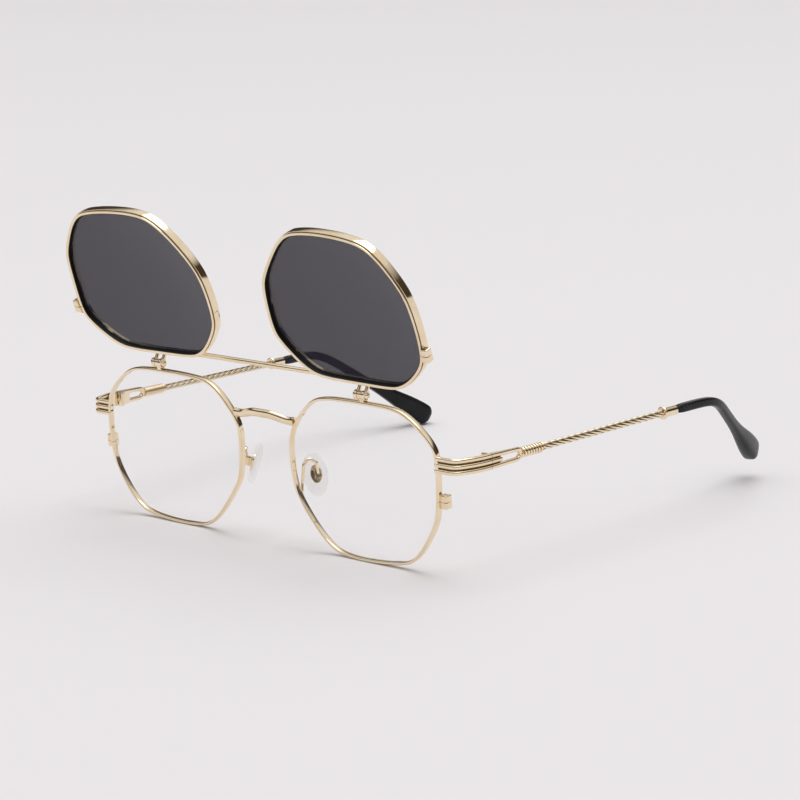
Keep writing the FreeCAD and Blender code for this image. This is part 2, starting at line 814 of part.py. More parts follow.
def clip_pieces():
    """The clip's pieces of one side, hanging in front of the rim."""
    to_rim = Placement(axis_x * rim_centre_x, Rotation())
    whole_ring = ring(clip_front, clip_back, clip_outset, clip_oversize)
    place = lock_place(clip_lock_height, clip_front, clip_lock_setback, clip_outset, clip_oversize)
    cut = slit(clip_lock_height, clip_outset)
    hole = lock_hole(place, clip_depth)
    wall = prism(outline(outer_grow + clip_oversize), -overrun, overrun)
    wall.translate(axis_x * clip_outset)
    lock = lock_block(place, clip_depth, wall).cut(cut).cut(hole)
    rim = placed(whole_ring.cut(cut), to_rim)
    lens = lens_plate(clip_front, clip_back, clip_outset, clip_oversize)
    return {
        "clip_rim": rim,
        "sun_lens": placed(lens, to_rim),
        "clip_lock": placed(lock, to_rim),
        "clip_lock_screw": placed(lock_screw(place, clip_depth), to_rim),
        "flip_lug": flip_lug(flip_hinge_x),
        "flip_pin": flip_pin(flip_hinge_x),
    }


def temple_pieces():
    """One temple from its hinge to its tip, along its own line."""
    lows = hinge_lows()
    room = wire_along(core_points(), tip_bend_radius, temple_core_radius + seat_clearance)
    return {
        "front_hinge": hinge_leaf(-1, lows[1::2]),
        "hinge_screw": hinge_screw(),
        "temple_fork": temple_fork(),
        "temple_hinge": hinge_leaf(1, lows[::2]),
        "ferrule": ferrule(),
        "rope": rope(),
        "collar": collar(),
        "temple_core": wire_along(core_points(), tip_bend_radius, temple_core_radius),
        "tip": tip_solid().cut(room),
    }


def temple_side(local, frame):
    """A temple in its place, with the end piece that it hangs on."""
    shapes = {name: placed(shape, frame) for name, shape in local.items()}
    shapes["end_piece"] = end_piece(frame)
    return shapes


def pad_pieces():
    """One nose pad and its core."""
    return {"nose_pad": placed(nose_pad(), pad_frame), "pad_core": placed(pad_core(), pad_frame)}


def mirrored(shape):
    """The same piece on the wearer's right."""
    return shape.mirror(origin, axis_x)


def all_pieces():
    """Every piece on the front's own axes, with the clip turned up."""
    clip = clip_pieces()
    bar = clip_bar([clip["clip_rim"], mirrored(clip["clip_rim"])])
    one_side = front_pieces()
    one_side.update(pad_pieces())
    for name, shape in clip.items():
        one_side[name] = placed(shape, flip_up)
    pieces = {"bridge": bridge_piece(), "clip_bar": placed(bar, flip_up)}
    temple = temple_pieces()
    for name, shape in temple_side(temple, left_temple).items():
        pieces[name + "_left"] = shape
    for name, shape in temple_side(temple, right_temple).items():
        pieces[name + "_right"] = mirrored(shape)
    for name, shape in one_side.items():
        if name in grouped_names:
            pieces[name + "s"] = Part.makeCompound([shape, mirrored(shape)])
        else:
            pieces[name + "_left"] = shape
            pieces[name + "_right"] = mirrored(shape)
    return pieces


def bridge_piece():
    """The bridge, ending on the walls of both rims."""
    rim = rim_solid(0, 0)
    return bridge().cut(rim).cut(mirrored(rim))


def box_of(shapes, placement):
    """The box round moved shapes."""
    moved = [placed(shape, placement) for shape in shapes]
    return Part.makeCompound(moved).optimalBoundingBox(False, False)


def set_down(pieces):
    """The move that stands the rims and the tips on one level, with zero below the middle."""
    tilt = 0
    for _ in range(tilt_steps):
        turn = Placement(origin, Rotation(axis_x, tilt))
        rim_box = box_of([pieces["rim_left"]], turn)
        tip_box = box_of([pieces["tip_left"], pieces["tip_right"]], turn)
        rise = rim_box.ZMin - tip_box.ZMin
        tilt += math.degrees(math.atan2(rise, tip_box.YMax - rim_box.YMin))
    turn = Placement(origin, Rotation(axis_x, tilt))
    whole = box_of(pieces.values(), turn)
    shift = Vector(-whole.Center.x, -whole.Center.y, -whole.ZMin)
    return Placement(shift, Rotation(axis_x, tilt))


left_temple = temple_frame(temple_twist)
right_temple = temple_frame(-temple_twist)
os.makedirs("parts", exist_ok=True)
pieces = all_pieces()
resting_place = set_down(pieces)
for name, shape in pieces.items():
    placed(shape, resting_place).exportStep("parts/" + name + ".step")
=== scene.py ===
"""Flip-up sunglasses on a pale studio floor: gold wire frame, clear lenses and a grey clip turned up."""
import json
import math

import bmesh
import bpy
from bpy.props import FloatProperty, FloatVectorProperty, IntProperty, PointerProperty
from mathutils import Matrix, Vector


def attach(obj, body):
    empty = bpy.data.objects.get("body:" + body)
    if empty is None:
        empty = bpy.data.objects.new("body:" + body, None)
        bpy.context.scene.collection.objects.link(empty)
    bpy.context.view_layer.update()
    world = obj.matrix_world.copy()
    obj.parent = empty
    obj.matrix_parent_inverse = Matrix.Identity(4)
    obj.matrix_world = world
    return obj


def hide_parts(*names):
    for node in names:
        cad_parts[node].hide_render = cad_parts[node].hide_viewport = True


bl_info = {
    "name": "Flip-up Sunglasses",
    "version": (1, 0, 0),
    "blender": (4, 5, 0),
    "location": "View3D > Sidebar > Sunglasses",
    "description": "Dresses the flip-up sunglasses: gold frame, lenses, rope temples, tips and pads",
    "category": "Object",
}

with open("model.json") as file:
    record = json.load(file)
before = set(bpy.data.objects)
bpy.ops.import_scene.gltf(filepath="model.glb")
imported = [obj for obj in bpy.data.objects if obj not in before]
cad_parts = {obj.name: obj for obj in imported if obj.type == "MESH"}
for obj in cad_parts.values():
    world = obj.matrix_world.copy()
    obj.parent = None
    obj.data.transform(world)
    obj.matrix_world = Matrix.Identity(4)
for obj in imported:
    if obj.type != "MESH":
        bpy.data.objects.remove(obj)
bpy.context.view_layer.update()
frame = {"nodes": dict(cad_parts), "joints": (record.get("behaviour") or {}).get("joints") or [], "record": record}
joints = {joint["name"]: joint for joint in frame["joints"]}
signs = {"left": 1, "right": -1}
mirror_x = Matrix.Diagonal((-1, 1, 1, 1))
outwards = Vector((1, 0, 0))
backwards = Vector((0, 1, 0))
upwards = Vector((0, 0, 1))

# Points closer than this, in metres, are one point
merge_distance = 1e-7
pad_merge_distance = 1e-6
# Edges that turn more than this shade as crisp edges
crisp_angle = math.radians(40)
# Edges of a flat ring that turn more than this, in radians, are rounded
ring_edge_turn = 1

# Sides of the round sections
wire_segments = 20
barrel_segments = 28
leg_segments = 16
screw_segments = 24
strand_segments = 12
coil_segments = 10
rod_segments = 32
# Cuts across a rounded edge or corner
edge_segments = 4
ridge_segments = 4
tip_segments = 3
# Steps along or round a curve: the strands' and the coil's are for one turn
bridge_steps = 64
end_lean_steps = 8
end_bend_steps = 14
fork_bend_steps = 16
strand_steps = 36
coil_steps = 24
pad_steps = 40

# Corners of the rims' outline, as shares of its half width and half height
corner_shares = (
    (-0.606, 0.991), (0.551, 1.0), (0.996, 0.543), (0.967, -0.342),
    (0.599, -0.974), (-0.467, -1.017), (-0.974, -0.286), (-1.007, 0.449))
# Sections of the clip's bar at one end: share of its reach, share of its radius
bar_end_shares = ((1, 0.25), (0.985, 0.7), (0.97, 0.92), (0.95, 1))
# Sections of an ear's barrel: place as a share of its width, share of its radius
ear_barrel_shares = (
    (-0.5, 0.76), (-0.46, 0.9), (-0.38, 0.98), (-0.25, 1),
    (0.25, 1), (0.38, 0.98), (0.46, 0.9), (0.5, 0.76))
# Sections of an ear's leg: share of its length, share of its thickness
ear_leg_shares = ((0, 1.25), (0.12, 1.05), (0.3, 0.95), (1, 0.95))
# Sections of a hinge's screw from its foot up: share of the half height, share of the head's radius
screw_shares = ((-1, 0.55), (1, 0.55), (1.02, 1), (1.05, 0.98), (1.08, 0.8), (1.1, 0.4))
# Sections of a fork's middle ridge: share of its length, share of its size
fork_end_shares = ((0, 1), (0.86, 1), (0.93, 0.92), (0.98, 0.7), (1, 0.3))
# Sections of the back of a fork's grooves: share of the middle ridge's length, share of its size
fork_groove_shares = ((0, 1), (0.9, 1))
# How far a tip has flared, in even steps from its neck to its round end
tip_flare_shares = (0, 0, 0, 0, 0.01, 0.02, 0.04, 0.09, 0.24, 0.58, 0.9, 1)
# Sections of a tip's round end, as shares of its length, and where the oval that it follows is cut off
tip_round_shares = (0.4, 0.72, 0.92, 1)
tip_round_cut = 0.92
# Rings of a pad from its back to its face: share of its outline, share of its thickness
pad_ring_shares = (
    (0.0, 0.02), (0.5, 0.0), (0.82, 0.0), (0.93, 0.06), (0.99, 0.25), (1.0, 0.5),
    (0.975, 0.76), (0.9, 0.93), (0.78, 0.99), (0.5, 0.96), (0.2, 0.93), (0.0, 0.92))

# Values of a noise between which a colour or a roughness runs from one end to the other
tone_span = (0.3, 0.7)
roughness_span = (0.25, 0.75)

# The floor's colour darkens far away, painted shade for light that falls off: where it starts and ends, in metres,
# and what is left there
floor_dim_span = (0.3, 2.6)
floor_far_share = 0.93
# The sky: heights of its bands, as sines of the angle above the horizon, and their light
horizon_share = 0.95
horizon_top = 0.13
dim_start = 0.17
dim_colour = (0.06, 0.045, 0.03)
back_dim_stop = 0.54
back_light_start = 0.68
back_light = 0.9
front_dim_stop = 0.46
front_light_start = 0.58
full_light = 1
lamp_warmth = (1, 0.98, 0.96)
# Where along Y the front of the sky turns into its back
sky_turn_span = (-0.35, 0.15)
# The light box in the sky: its direction, and the angles from there at which it starts and ends to fade
box_direction = Vector((-0.46, 0.84, 0.29)).normalized()
box_inner_angle = math.radians(11)
box_outer_angle = math.radians(17)
# What the camera sees, in metres from it
camera_near = 0.01
camera_far = 50


def length(label, default, note):
    """A size in metres, given in millimetres."""
    return FloatProperty(name=label, description=note, default=default / 1000, unit="LENGTH", precision=5)


def angle(label, default, note):
    """An angle, given in degrees."""
    return FloatProperty(name=label, description=note, default=math.radians(default), subtype="ANGLE")


def colour(label, default, note):
    """A linear colour."""
    return FloatVectorProperty(
        name=label, description=note, default=default, size=3, min=0, max=1, subtype="COLOR")


def factor(label, default, note, subtype="NONE"):
    """A plain number."""
    return FloatProperty(name=label, description=note, default=default, subtype=subtype)


def count(label, default, note, least):
    """A whole number."""
    return IntProperty(name=label, description=note, default=default, min=least)


class RimSizes(bpy.types.PropertyGroup):
    """The rims, their lenses and the clip that flips up."""

    half_width: length("Half width", 27.4, "Half the width of a rim, at the middle of its wall")
    half_height: length("Half height", 23.4, "Half the height of a rim, at the middle of its wall")
    outline_share: factor("Outline share", 1.009, "Size of the cornered outline before its corners are cut")
    corner_cut: factor("Corner cut", 17, "Share of each side that a corner takes", "PERCENTAGE")
    corner_soften: factor(
        "Corner soften", 25, "Share of each side that each softening round takes", "PERCENTAGE")
    corner_rounds: count("Corner rounds", 4, "Softening rounds", 1)
    nose_gap: length("Nose gap", 20.0, "Gap between the two rims")
    wall: length("Wall", 1.1, "Thickness of a clip rim's wall seen from the front")
    main_wall: length("Main wall", 0.96, "Thickness of a main rim's wall seen from the front")
    depth: length("Depth", 2.0, "Depth of a main rim")
    edge: length("Edge", 0.4, "Rounding of a main rim's edges")
    dish_radius: length("Dish radius", 130.0, "Radius of the dish of the lenses")
    lens_front: length("Lens front", 0.3, "From the front of a main rim back to its lens")
    lens_thickness: length("Lens thickness", 1.4, "Thickness of a clear lens")
    clip_outset: length("Clip outset", 1.8, "How far the clip's rims stand out beyond the main ones")
    clip_oversize: length("Clip oversize", 0.2, "How much the clip's rims are larger all round")
    clip_front: length("Clip front", -4.7, "Depth of the clip's front when it hangs down")
    clip_back: length("Clip back", -1.6, "Depth of the clip's back when it hangs down")
    clip_edge: length("Clip edge", 0.2, "Rounding of a clip rim's edges")
    lip_depth: length("Lip depth", 0.35, "Depth of the lip round the back of a clip rim")
    lip_step: length("Lip step", 0.27, "How far the lip steps in from the band")
    lip_edge: length("Lip edge", 0.12, "Rounding of the lip's edges")
    groove_width: length("Groove width", 0.3, "Width of the groove between the lip and the band")
    groove_depth: length("Groove depth", 0.42, "Depth of that groove")
    sun_front: length("Sun lens front", -3.8, "Depth of a grey lens's front when the clip hangs down")
    sun_thickness: length("Sun lens thickness", 1.0, "Thickness of a grey lens")
    gasket_back: length("Gasket back", -1.72, "Depth of the gasket's back when the clip hangs down")
    gasket_wall: length("Gasket wall", 0.16, "Thickness of the gasket")
    gasket_lip: length("Gasket lip", 0.4, "Width of the gasket's lip on the lens")
    axis_depth: length("Axis depth", 2.1, "Depth of the flip axis")
    axis_height: length("Axis height", 26.15, "Height of the flip axis")
    flip_turn: angle("Flip turn", 163.6, "Turn from hanging down to standing up")
    bar_reach: length("Bar reach", 32.0, "Half the length of the clip's bar")
    bar_height: length("Bar height", 24.2, "Height of the bar when the clip hangs down")
    bar_depth: length("Bar depth", -2.5, "Depth of the bar's middle when the clip hangs down")
    bar_radius: length("Bar radius", 0.78, "Radius of the bar")
    hinge_offset: length("Hinge offset", 2.4, "From a rim's middle out to its flip hinge")
    ear_step: length("Ear step", 1.41, "From a flip hinge's middle to each outer barrel")
    ear_width: length("Ear width", 1.2, "Width of an outer barrel")
    ear_radius: length("Ear radius", 1.5, "Radius of an outer barrel")
    ear_foot_depth: length("Ear foot depth", -0.65, "Depth of an ear's foot when the clip hangs down")
    ear_foot_height: length("Ear foot height", 23.7, "Height of an ear's foot when the clip hangs down")
    ear_foot_radius: length("Ear foot radius", 0.62, "Half the thickness of an ear's foot")
    slit: length("Slit", 0.14, "Width of the saw cut through a rim at its lock")
    slit_height: length("Slit height", -2.2, "Height of the cut in a main rim")
    clip_slit_height: length("Clip slit height", 10.0, "Height of the cut in a clip rim")
    lens_rings: count("Lens rings", 10, "Rings from a lens's edge to its middle", 3)


class BridgeSizes(bpy.types.PropertyGroup):
    """The saddle bridge."""

    reach: length("Reach", 11.6, "From the middle to the end in a rim's wall")
    depth: length("Depth", 4.2, "Depth of its feet")
    foot_height: length("Foot height", 13.9, "Height of its feet")
    rise: length("Rise", 1.5, "How far its middle rises above its feet")
    forward: length("Forward", 1.3, "How far its middle stands forward of its feet")
    crown: length("Crown", 2.4, "Half the length of its level middle")
    knee: length("Knee", 9.8, "From the middle to where a foot levels out")
    half_height: length("Half height", 1.26, "Half the height of the band")
    half_depth: length("Half depth", 0.9, "Half the depth of the band")
    flare: length("Flare", 0.2, "How much the band swells where it meets a rim")
    flare_length: length("Flare length", 1.8, "Length of the swelling")


class TempleSizes(bpy.types.PropertyGroup):
    """The end piece, hinge screw, fork, coil, rope and tip of a temple."""

    splay: angle("Splay", 3.85, "Outward turn of the temple")
    hinge_inset: length("Hinge inset", 2.1, "From the temple's line in to its hinge")
    screw_half_height: length("Screw half height", 2.0, "Half the hinge's height under its screw's head")
    screw_head: length("Screw head", 0.8, "Radius of the head of the hinge's screw")
    end_setback: length("End setback", 11.77, "From the seam forward to the end piece's corner")
    end_inset: length("End inset", 2.6, "How far in from the temple's line that corner lies")
    end_inward: length("End inward", 6.6, "From that corner in to the rim")
    end_bend: length("End bend", 2.4, "Radius of that corner")
    end_bend_share: factor(
        "End bend share", 0.45, "Share of the setback where the end piece starts to lean in")
    end_gap: length("End gap", 0.1, "Gap at the seam")
    # The back of the grooves is dark metal that paints shade into them
    groove_place: length("Groove place", -0.1, "How far out the dark back of the grooves lies")
    groove_half_depth: length("Groove half depth", 0.3, "Half the thickness of that back")
    fork_length: length("Fork length", 13.0, "From the seam to the end of the fork")
    ridge_pitch: length("Ridge pitch", 1.7, "From one ridge of the fork to the next")
    ridge_half_height: length("Ridge half height", 0.67, "Half the height of a ridge")
    ridge_corner: factor("Ridge corner", 0.8, "Share of a ridge's half height that its corners round")
    ridge_half_depth: length("Ridge half depth", 0.74, "Half the depth of a ridge, from inside to outside")
    ridge_shift: length("Ridge shift", 0.19, "How far out the middle of a ridge lies")
    fork_end_pitch: length("Fork end pitch", 1.42, "Height of the loop's ends above the temple's line")
    slot_start: length("Slot start", 4.7, "From the seam to the slot")
    coil_length: length("Coil length", 9.4, "From the fork to the rope")
    coil_lap: length("Coil lap", 0.6, "How far the coil reaches over the end of the fork")
    coil_radius: length("Coil radius", 1.16, "From the temple's line to the middle of the wire")
    coil_wire: length("Coil wire", 0.36, "Radius of the coil's wire")
    coil_core: length("Coil core", 0.8, "Radius of the sleeve inside the coil")
    coil_turns: count("Coil turns", 8, "Turns of the coil", 2)
    rope_length: length("Rope length", 54.6, "Length of the rope")
    rope_pitch: length("Rope pitch", 14.5, "Length of one whole twist")
    strand_offset: length("Strand offset", 0.62, "From the temple's line to a strand's middle")
    strand_radius: length("Strand radius", 0.45, "Radius of a strand")
    strand_count: count("Strands", 5, "Strands in the rope", 2)
    # The rope's core is dark metal that paints shade between the strands
    rope_core: length("Rope core", 0.9, "Radius of the dark core between the strands")
    collar_length: length("Collar length", 6.2, "Length of the collar behind the rope")
    tip_straight: length("Tip straight", 20.5, "From the collar to the bend")
    tip_reach: length("Tip reach", 41.8, "How far back the tip reaches after the bend")
    tip_inset: length("Tip inset", 16.6, "How far in it reaches after the bend")
    tip_fall: length("Tip fall", 27.6, "How far down it reaches after the bend")
    tip_bend: length("Tip bend", 17.0, "Radius of the bend")
    tip_neck: length("Tip neck", 2.8, "Thickness at the collar")
    tip_end_height: length("Tip end height", 7.3, "Height at the end")
    tip_end_width: length("Tip end width", 5.4, "Width at the end")
    tip_corner: factor("Tip corner", 0.62, "Share of a tip section's half width that its corners round")
    tip_end_round: length("Tip end round", 3.2, "Length of the round end")
    tip_end_low: length("Tip end low", 6.3, "Twice how far the end reaches below the tip's line")


class PadSizes(bpy.types.PropertyGroup):
    """The soft nose pads."""

    splay: angle("Splay", 28.0, "Turn of the pad about the upright axis")
    lean: angle("Lean", 18.0, "Lean of the pad's top towards the nose")
    half_length: length("Half length", 6.6, "Half the pad's length")
    half_width: length("Half width", 3.9, "Half the pad's width")
    back: length("Back", -0.7, "Place of the pad's back, from its pin")
    thickness: length("Thickness", 1.9, "Thickness of the pad")


class Finishes(bpy.types.PropertyGroup):
    """Colours of the object and the stage."""

    gold_light: colour("Light gold", (0.95, 0.82, 0.62), "Polished gold where it is brightest")
    gold_deep: colour("Deep gold", (0.89, 0.73, 0.49), "Polished gold where it is warmest")
    # These two dark metal colours are painted shade, put in the grooves and between the rope's strands
    painted_shade_light: colour("Light painted shade", (0.2, 0.14, 0.075), "Darkened metal in the grooves")
    painted_shade_deep: colour("Deep painted shade", (0.11, 0.075, 0.035), "Darkest metal in the grooves")
    grey_lens: colour("Grey lens", (0.011, 0.008, 0.024), "Smoke grey of the sun lenses")
    clear_lens: colour("Clear lens", (0.97, 0.97, 0.98), "Colour of the clear lenses")
    tip_black: colour("Tip black", (0.008, 0.008, 0.009), "Black of the tips")
    tip_grey: colour("Tip grey", (0.018, 0.018, 0.02), "Lighter cloud in the tips")
    gasket_black: colour("Gasket black", (0.006, 0.006, 0.006), "Black of the lens gaskets")
    silicone: colour("Silicone", (0.96, 0.95, 0.94), "Clear silicone of the nose pads")
    floor: colour("Floor", (0.815, 0.80, 0.825), "Pale studio floor")


class StageSizes(bpy.types.PropertyGroup):
    """The camera, the lights and the floor."""

    camera_place: FloatVectorProperty(
        name="Camera place", description="Where the camera stands",
        default=(0.520001, -0.633122, 0.201922), size=3, subtype="TRANSLATION", unit="LENGTH")
    camera_back: FloatVectorProperty(
        name="Camera back", description="Direction from the view to the camera",
        default=(0.62598, -0.75276, 0.20372), size=3, subtype="DIRECTION")
    camera_up: FloatVectorProperty(
        name="Camera up", description="Up in the camera's frame",
        default=(-0.12222, 0.1633, 0.97898), size=3, subtype="DIRECTION")
    lens: factor("Lens", 120.8813, "Focal length in millimetres")
    sensor: factor("Sensor", 36.0, "Sensor width in millimetres")
    floor_size: length("Floor size", 9000.0, "Side of the floor")
    lamp_power: factor("Lamp power", 1.3, "Strength of the soft overhead light")
    lamp_angle: angle("Lamp angle", 50.0, "How wide the overhead light is")
    lamp_lean: angle("Lamp lean", 8.0, "How far the overhead light leans to the back")
    sky_strength: factor("Sky strength", 0.86, "Strength of the light from all round")
    box_strength: factor("Box strength", 0.8, "Strength of the light box low at the back")


class SunglassesSettings(bpy.types.PropertyGroup):
    """All that a user would change."""

    rim: PointerProperty(type=RimSizes)
    bridge: PointerProperty(type=BridgeSizes)
    temple: PointerProperty(type=TempleSizes)
    pad: PointerProperty(type=PadSizes)
    finish: PointerProperty(type=Finishes)
    stage: PointerProperty(type=StageSizes)


def settings():
    """The sizes and colours of the scene."""
    return bpy.context.scene.sunglasses


def dimmed(tone, share):
    """A colour with only a share of its light."""
    return [channel * share for channel in tone]


def new_material(name):
    """A material with its surface shader and its Object coordinates."""
    material = bpy.data.materials.new(name)
    material.use_nodes = True
    nodes = material.node_tree.nodes
    shader = next(node for node in nodes if node.type == "BSDF_PRINCIPLED")
    place = nodes.new("ShaderNodeTexCoord")
    return material, shader, place.outputs["Object"]


def add_noise(tree, place, scale, detail):
    """A noise texture."""
    noise = tree.nodes.new("ShaderNodeTexNoise")
    noise.inputs["Scale"].default_value = scale
    noise.inputs["Detail"].default_value = detail
    tree.links.new(place, noise.inputs["Vector"])
    return noise.outputs["Fac"]


def add_shades(tree, value, shades):
    """A ramp through the colours at a row of values."""
    ramp = tree.nodes.new("ShaderNodeValToRGB")
    elements = ramp.color_ramp.elements
    elements[0].position = shades[0][0]
    elements[1].position = shades[-1][0]
    for spot, shade in shades[1:-1]:
        elements.new(spot)
    for element, (spot, shade) in zip(elements, shades):
        element.color = (*shade, 1)
    tree.links.new(value, ramp.inputs["Fac"])
    return ramp.outputs["Color"]


def add_range(tree, value, span, spread, interpolation="LINEAR"):
    """A value carried from a span over to a spread."""
    node = tree.nodes.new("ShaderNodeMapRange")
    node.interpolation_type = interpolation
    for name, number in zip(("From Min", "From Max", "To Min", "To Max"), (*span, *spread)):
        node.inputs[name].default_value = number
    tree.links.new(value, node.inputs["Value"])
    return node.outputs["Result"]


def add_bump(tree, shader, height, strength, distance):
    """Fine relief on a surface."""
    bump = tree.nodes.new("ShaderNodeBump")
    bump.inputs["Strength"].default_value = strength
    bump.inputs["Distance"].default_value = distance
    tree.links.new(height, bump.inputs["Height"])
    tree.links.new(bump.outputs["Normal"], shader.inputs["Normal"])


def cloudy_material(name, low, high, cloud, roughness, levels, grain=None, relief=None):
    """A material whose colour and roughness both vary.

    The colour runs from low to high with a cloud, and the roughness with a finer grain or else with the
    same cloud. Cloud and grain are a noise's scale and detail. The relief is the strength and height of a
    bump on the same marks, and the levels are the values that are even all over.
    """
    material, shader, place = new_material(name)
    tree = material.node_tree
    tone = add_noise(tree, place, *cloud)
    marks = add_noise(tree, place, *grain) if grain else tone
    shade = add_shades(tree, tone, list(zip(tone_span, (low, high))))
    tree.links.new(shade, shader.inputs["Base Color"])
    tree.links.new(add_range(tree, marks, roughness_span, roughness), shader.inputs["Roughness"])
    if relief:
        add_bump(tree, shader, marks, *relief)
    for socket, level in levels.items():
        shader.inputs[socket].default_value = level
    return material


def gold_material():
    """Polished pale gold with faint clouds, fine polishing marks and a soft sheen."""
    finish = settings().finish
    return cloudy_material(
        "polished_gold", finish.gold_deep, finish.gold_light, cloud=(180, 3), grain=(1600, 4),
        roughness=(0.06, 0.14), relief=(0.08, 0.00002), levels={"Metallic": 1})


def painted_shade_material():
    """Gold darkened with painted shade at the bottom of the grooves and in the rope's core, dull and cloudy."""
    finish = settings().finish
    return cloudy_material(
        "painted_shade_metal", finish.painted_shade_deep, finish.painted_shade_light, cloud=(700, 3),
        roughness=(0.35, 0.5), relief=(0.1, 0.00002), levels={"Metallic": 1})


def grey_lens_material():
    """Smoke grey lens, see-through enough to show a dark shape behind it."""
    grey = settings().finish.grey_lens
    return cloudy_material(
        "smoke_grey_lens", dimmed(grey, share=0.92), grey, cloud=(25, 2), grain=(60, 2),
        roughness=(0.02, 0.03), levels={"Alpha": 0.712, "Specular IOR Level": 0.2})


def clear_lens_material():
    """Clear lens with a faint polish."""
    clear = settings().finish.clear_lens
    return cloudy_material(
        "clear_lens_plastic", dimmed(clear, share=0.985), clear, cloud=(40, 2), grain=(300, 2),
        roughness=(0.02, 0.05), levels={"Alpha": 0.03, "IOR": 1.5})


def tip_material():
    """Glossy black acetate with soft clouds."""
    finish = settings().finish
    return cloudy_material(
        "black_acetate", finish.tip_black, finish.tip_grey, cloud=(140, 3), grain=(2200, 3),
        roughness=(0.22, 0.32), relief=(0.06, 0.00003), levels={"Specular IOR Level": 0.18})


def gasket_material():
    """Dull black gasket."""
    black = settings().finish.gasket_black
    return cloudy_material(
        "black_gasket", dimmed(black, share=0.5), black, cloud=(1500, 2), roughness=(0.4, 0.55),
        levels={"Specular IOR Level": 0.25})


def silicone_material():
    """Clear soft silicone with a skin of fine dimples."""
    clear = settings().finish.silicone
    return cloudy_material(
        "clear_silicone", dimmed(clear, share=0.97), clear, cloud=(900, 3), roughness=(0.08, 0.18),
        relief=(0.05, 0.00005), levels={"Alpha": 0.18, "Specular IOR Level": 0.6})


def floor_material():
    """Matt pale floor, its colour painted a little darker far away as painted shade."""
    pale = settings().finish.floor
    material, shader, place = new_material("studio_floor")
    tree = material.node_tree
    distance = tree.nodes.new("ShaderNodeVectorMath")
    distance.operation = "LENGTH"
    tree.links.new(place, distance.inputs[0])
    far = add_range(tree, distance.outputs["Value"], floor_dim_span, (0, 1))
    shade = add_shades(tree, far, [(0, pale), (1, dimmed(pale, floor_far_share))])
    tree.links.new(shade, shader.inputs["Base Color"])
    cloud = add_noise(tree, place, scale=3, detail=2)
    tree.links.new(add_range(tree, cloud, roughness_span, (0.75, 0.85)), shader.inputs["Roughness"])
    shader.inputs["Specular IOR Level"].default_value = 0.1
    return material


def finish_piece(name, bm, matrix, body, material, nodes=(), crisp=crisp_angle):
    """Turns a bmesh into a piece in its place, riding on its body."""
    bmesh.ops.transform(bm, matrix=matrix, verts=bm.verts)
    bmesh.ops.remove_doubles(bm, verts=bm.verts, dist=merge_distance)
    bmesh.ops.recalc_face_normals(bm, faces=bm.faces)
    mesh = bpy.data.meshes.new(name)
    bm.to_mesh(mesh)
    bm.free()
    mesh.shade_smooth()
    mesh.set_sharp_from_angle(angle=crisp)
    piece = bpy.data.objects.new(name, mesh)
    bpy.context.scene.collection.objects.link(piece)
    mesh.materials.append(material)
    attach(piece, body)
    if nodes:
        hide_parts(*nodes)
    return piece


def make_pair(name, shape, place, body, material, node=None, crisp=crisp_angle):
    """A piece on each side. Braces in the body's name stand for the side."""
    pieces = []
    for side in signs:
        nodes = [node + "_" + side] if node else ()
        pieces.append(finish_piece(
            name + "_" + side, shape(), place(side), body.format(side), material, nodes, crisp))
    return pieces


def subdivide(piece, levels):
    """A live subdivision, the same in view and render."""
    modifier = piece.modifiers.new("smooth_form", "SUBSURF")
    modifier.levels = levels
    modifier.render_levels = levels


def resting_tilt():
    """The tilt of the front on the floor, from the axis of a pad."""
    axis = joints["nose_pad_left_rock"]["axis"]
    return math.atan2(axis[2], axis[1])


def sided(place, side):
    """A place on the left, or its mirror image on the right."""
    return place if side == "left" else mirror_x @ place


def front_matrix():
    """From the front's own frame to its place on the floor."""
    sizes = settings().rim
    axis = Vector(joints["clip_flip"]["pos_m"])
    turn = Matrix.Rotation(resting_tilt(), 4, "X")
    return Matrix.Translation(axis) @ turn @ Matrix.Translation((0, -sizes.axis_depth, -sizes.axis_height))


def rim_matrix(side):
    """From the middle of the left rim to the place of either rim."""
    sizes = settings().rim
    return sided(front_matrix() @ Matrix.Translation((sizes.half_width + sizes.nose_gap / 2, 0, 0)), side)


def turned_up():
    """From the clip's place when it hangs down to its place when it stands up."""
    axis = Vector(joints["clip_flip"]["pos_m"])
    turn = Matrix.Rotation(-settings().rim.flip_turn, 4, "X")
    return Matrix.Translation(axis) @ turn @ Matrix.Translation(-axis)


def clip_matrix(side):
    """From the hanging clip's left rim to the place of either clip rim when turned up."""
    return sided(turned_up() @ rim_matrix("left"), side)


def temple_matrix(side):
    """From a temple's own line, with X outwards and Y back, to its place."""
    sizes = settings().temple
    joint = joints["temple_" + side + "_fold"]
    sign = signs[side]
    up = Vector(joint["axis"]) * sign
    out_flat = outwards * sign
    back_flat = up.cross(out_flat) * sign
    out = out_flat * math.cos(sizes.splay) - back_flat * math.sin(sizes.splay)
    back = back_flat * math.cos(sizes.splay) + out_flat * math.sin(sizes.splay)
    seam = Vector(joint["pos_m"]) + out * sizes.hinge_inset
    turn = Matrix((out, back, up)).transposed().to_4x4()
    return Matrix.Translation(seam) @ turn


def pad_matrix(side):
    """From a pad's own frame, with X away from the nose, to its place."""
    sizes = settings().pad
    turn = Matrix.Rotation(resting_tilt(), 4, "X")
    turn = turn @ Matrix.Rotation(-sizes.splay, 4, "Z") @ Matrix.Rotation(-sizes.lean, 4, "Y")
    return sided(Matrix.Translation(joints["nose_pad_left_rock"]["pos_m"]) @ turn, side)


def made_verts(made):
    """The vertices among the geometry that a bmesh operator made."""
    return [item for item in made if isinstance(item, bmesh.types.BMVert)]


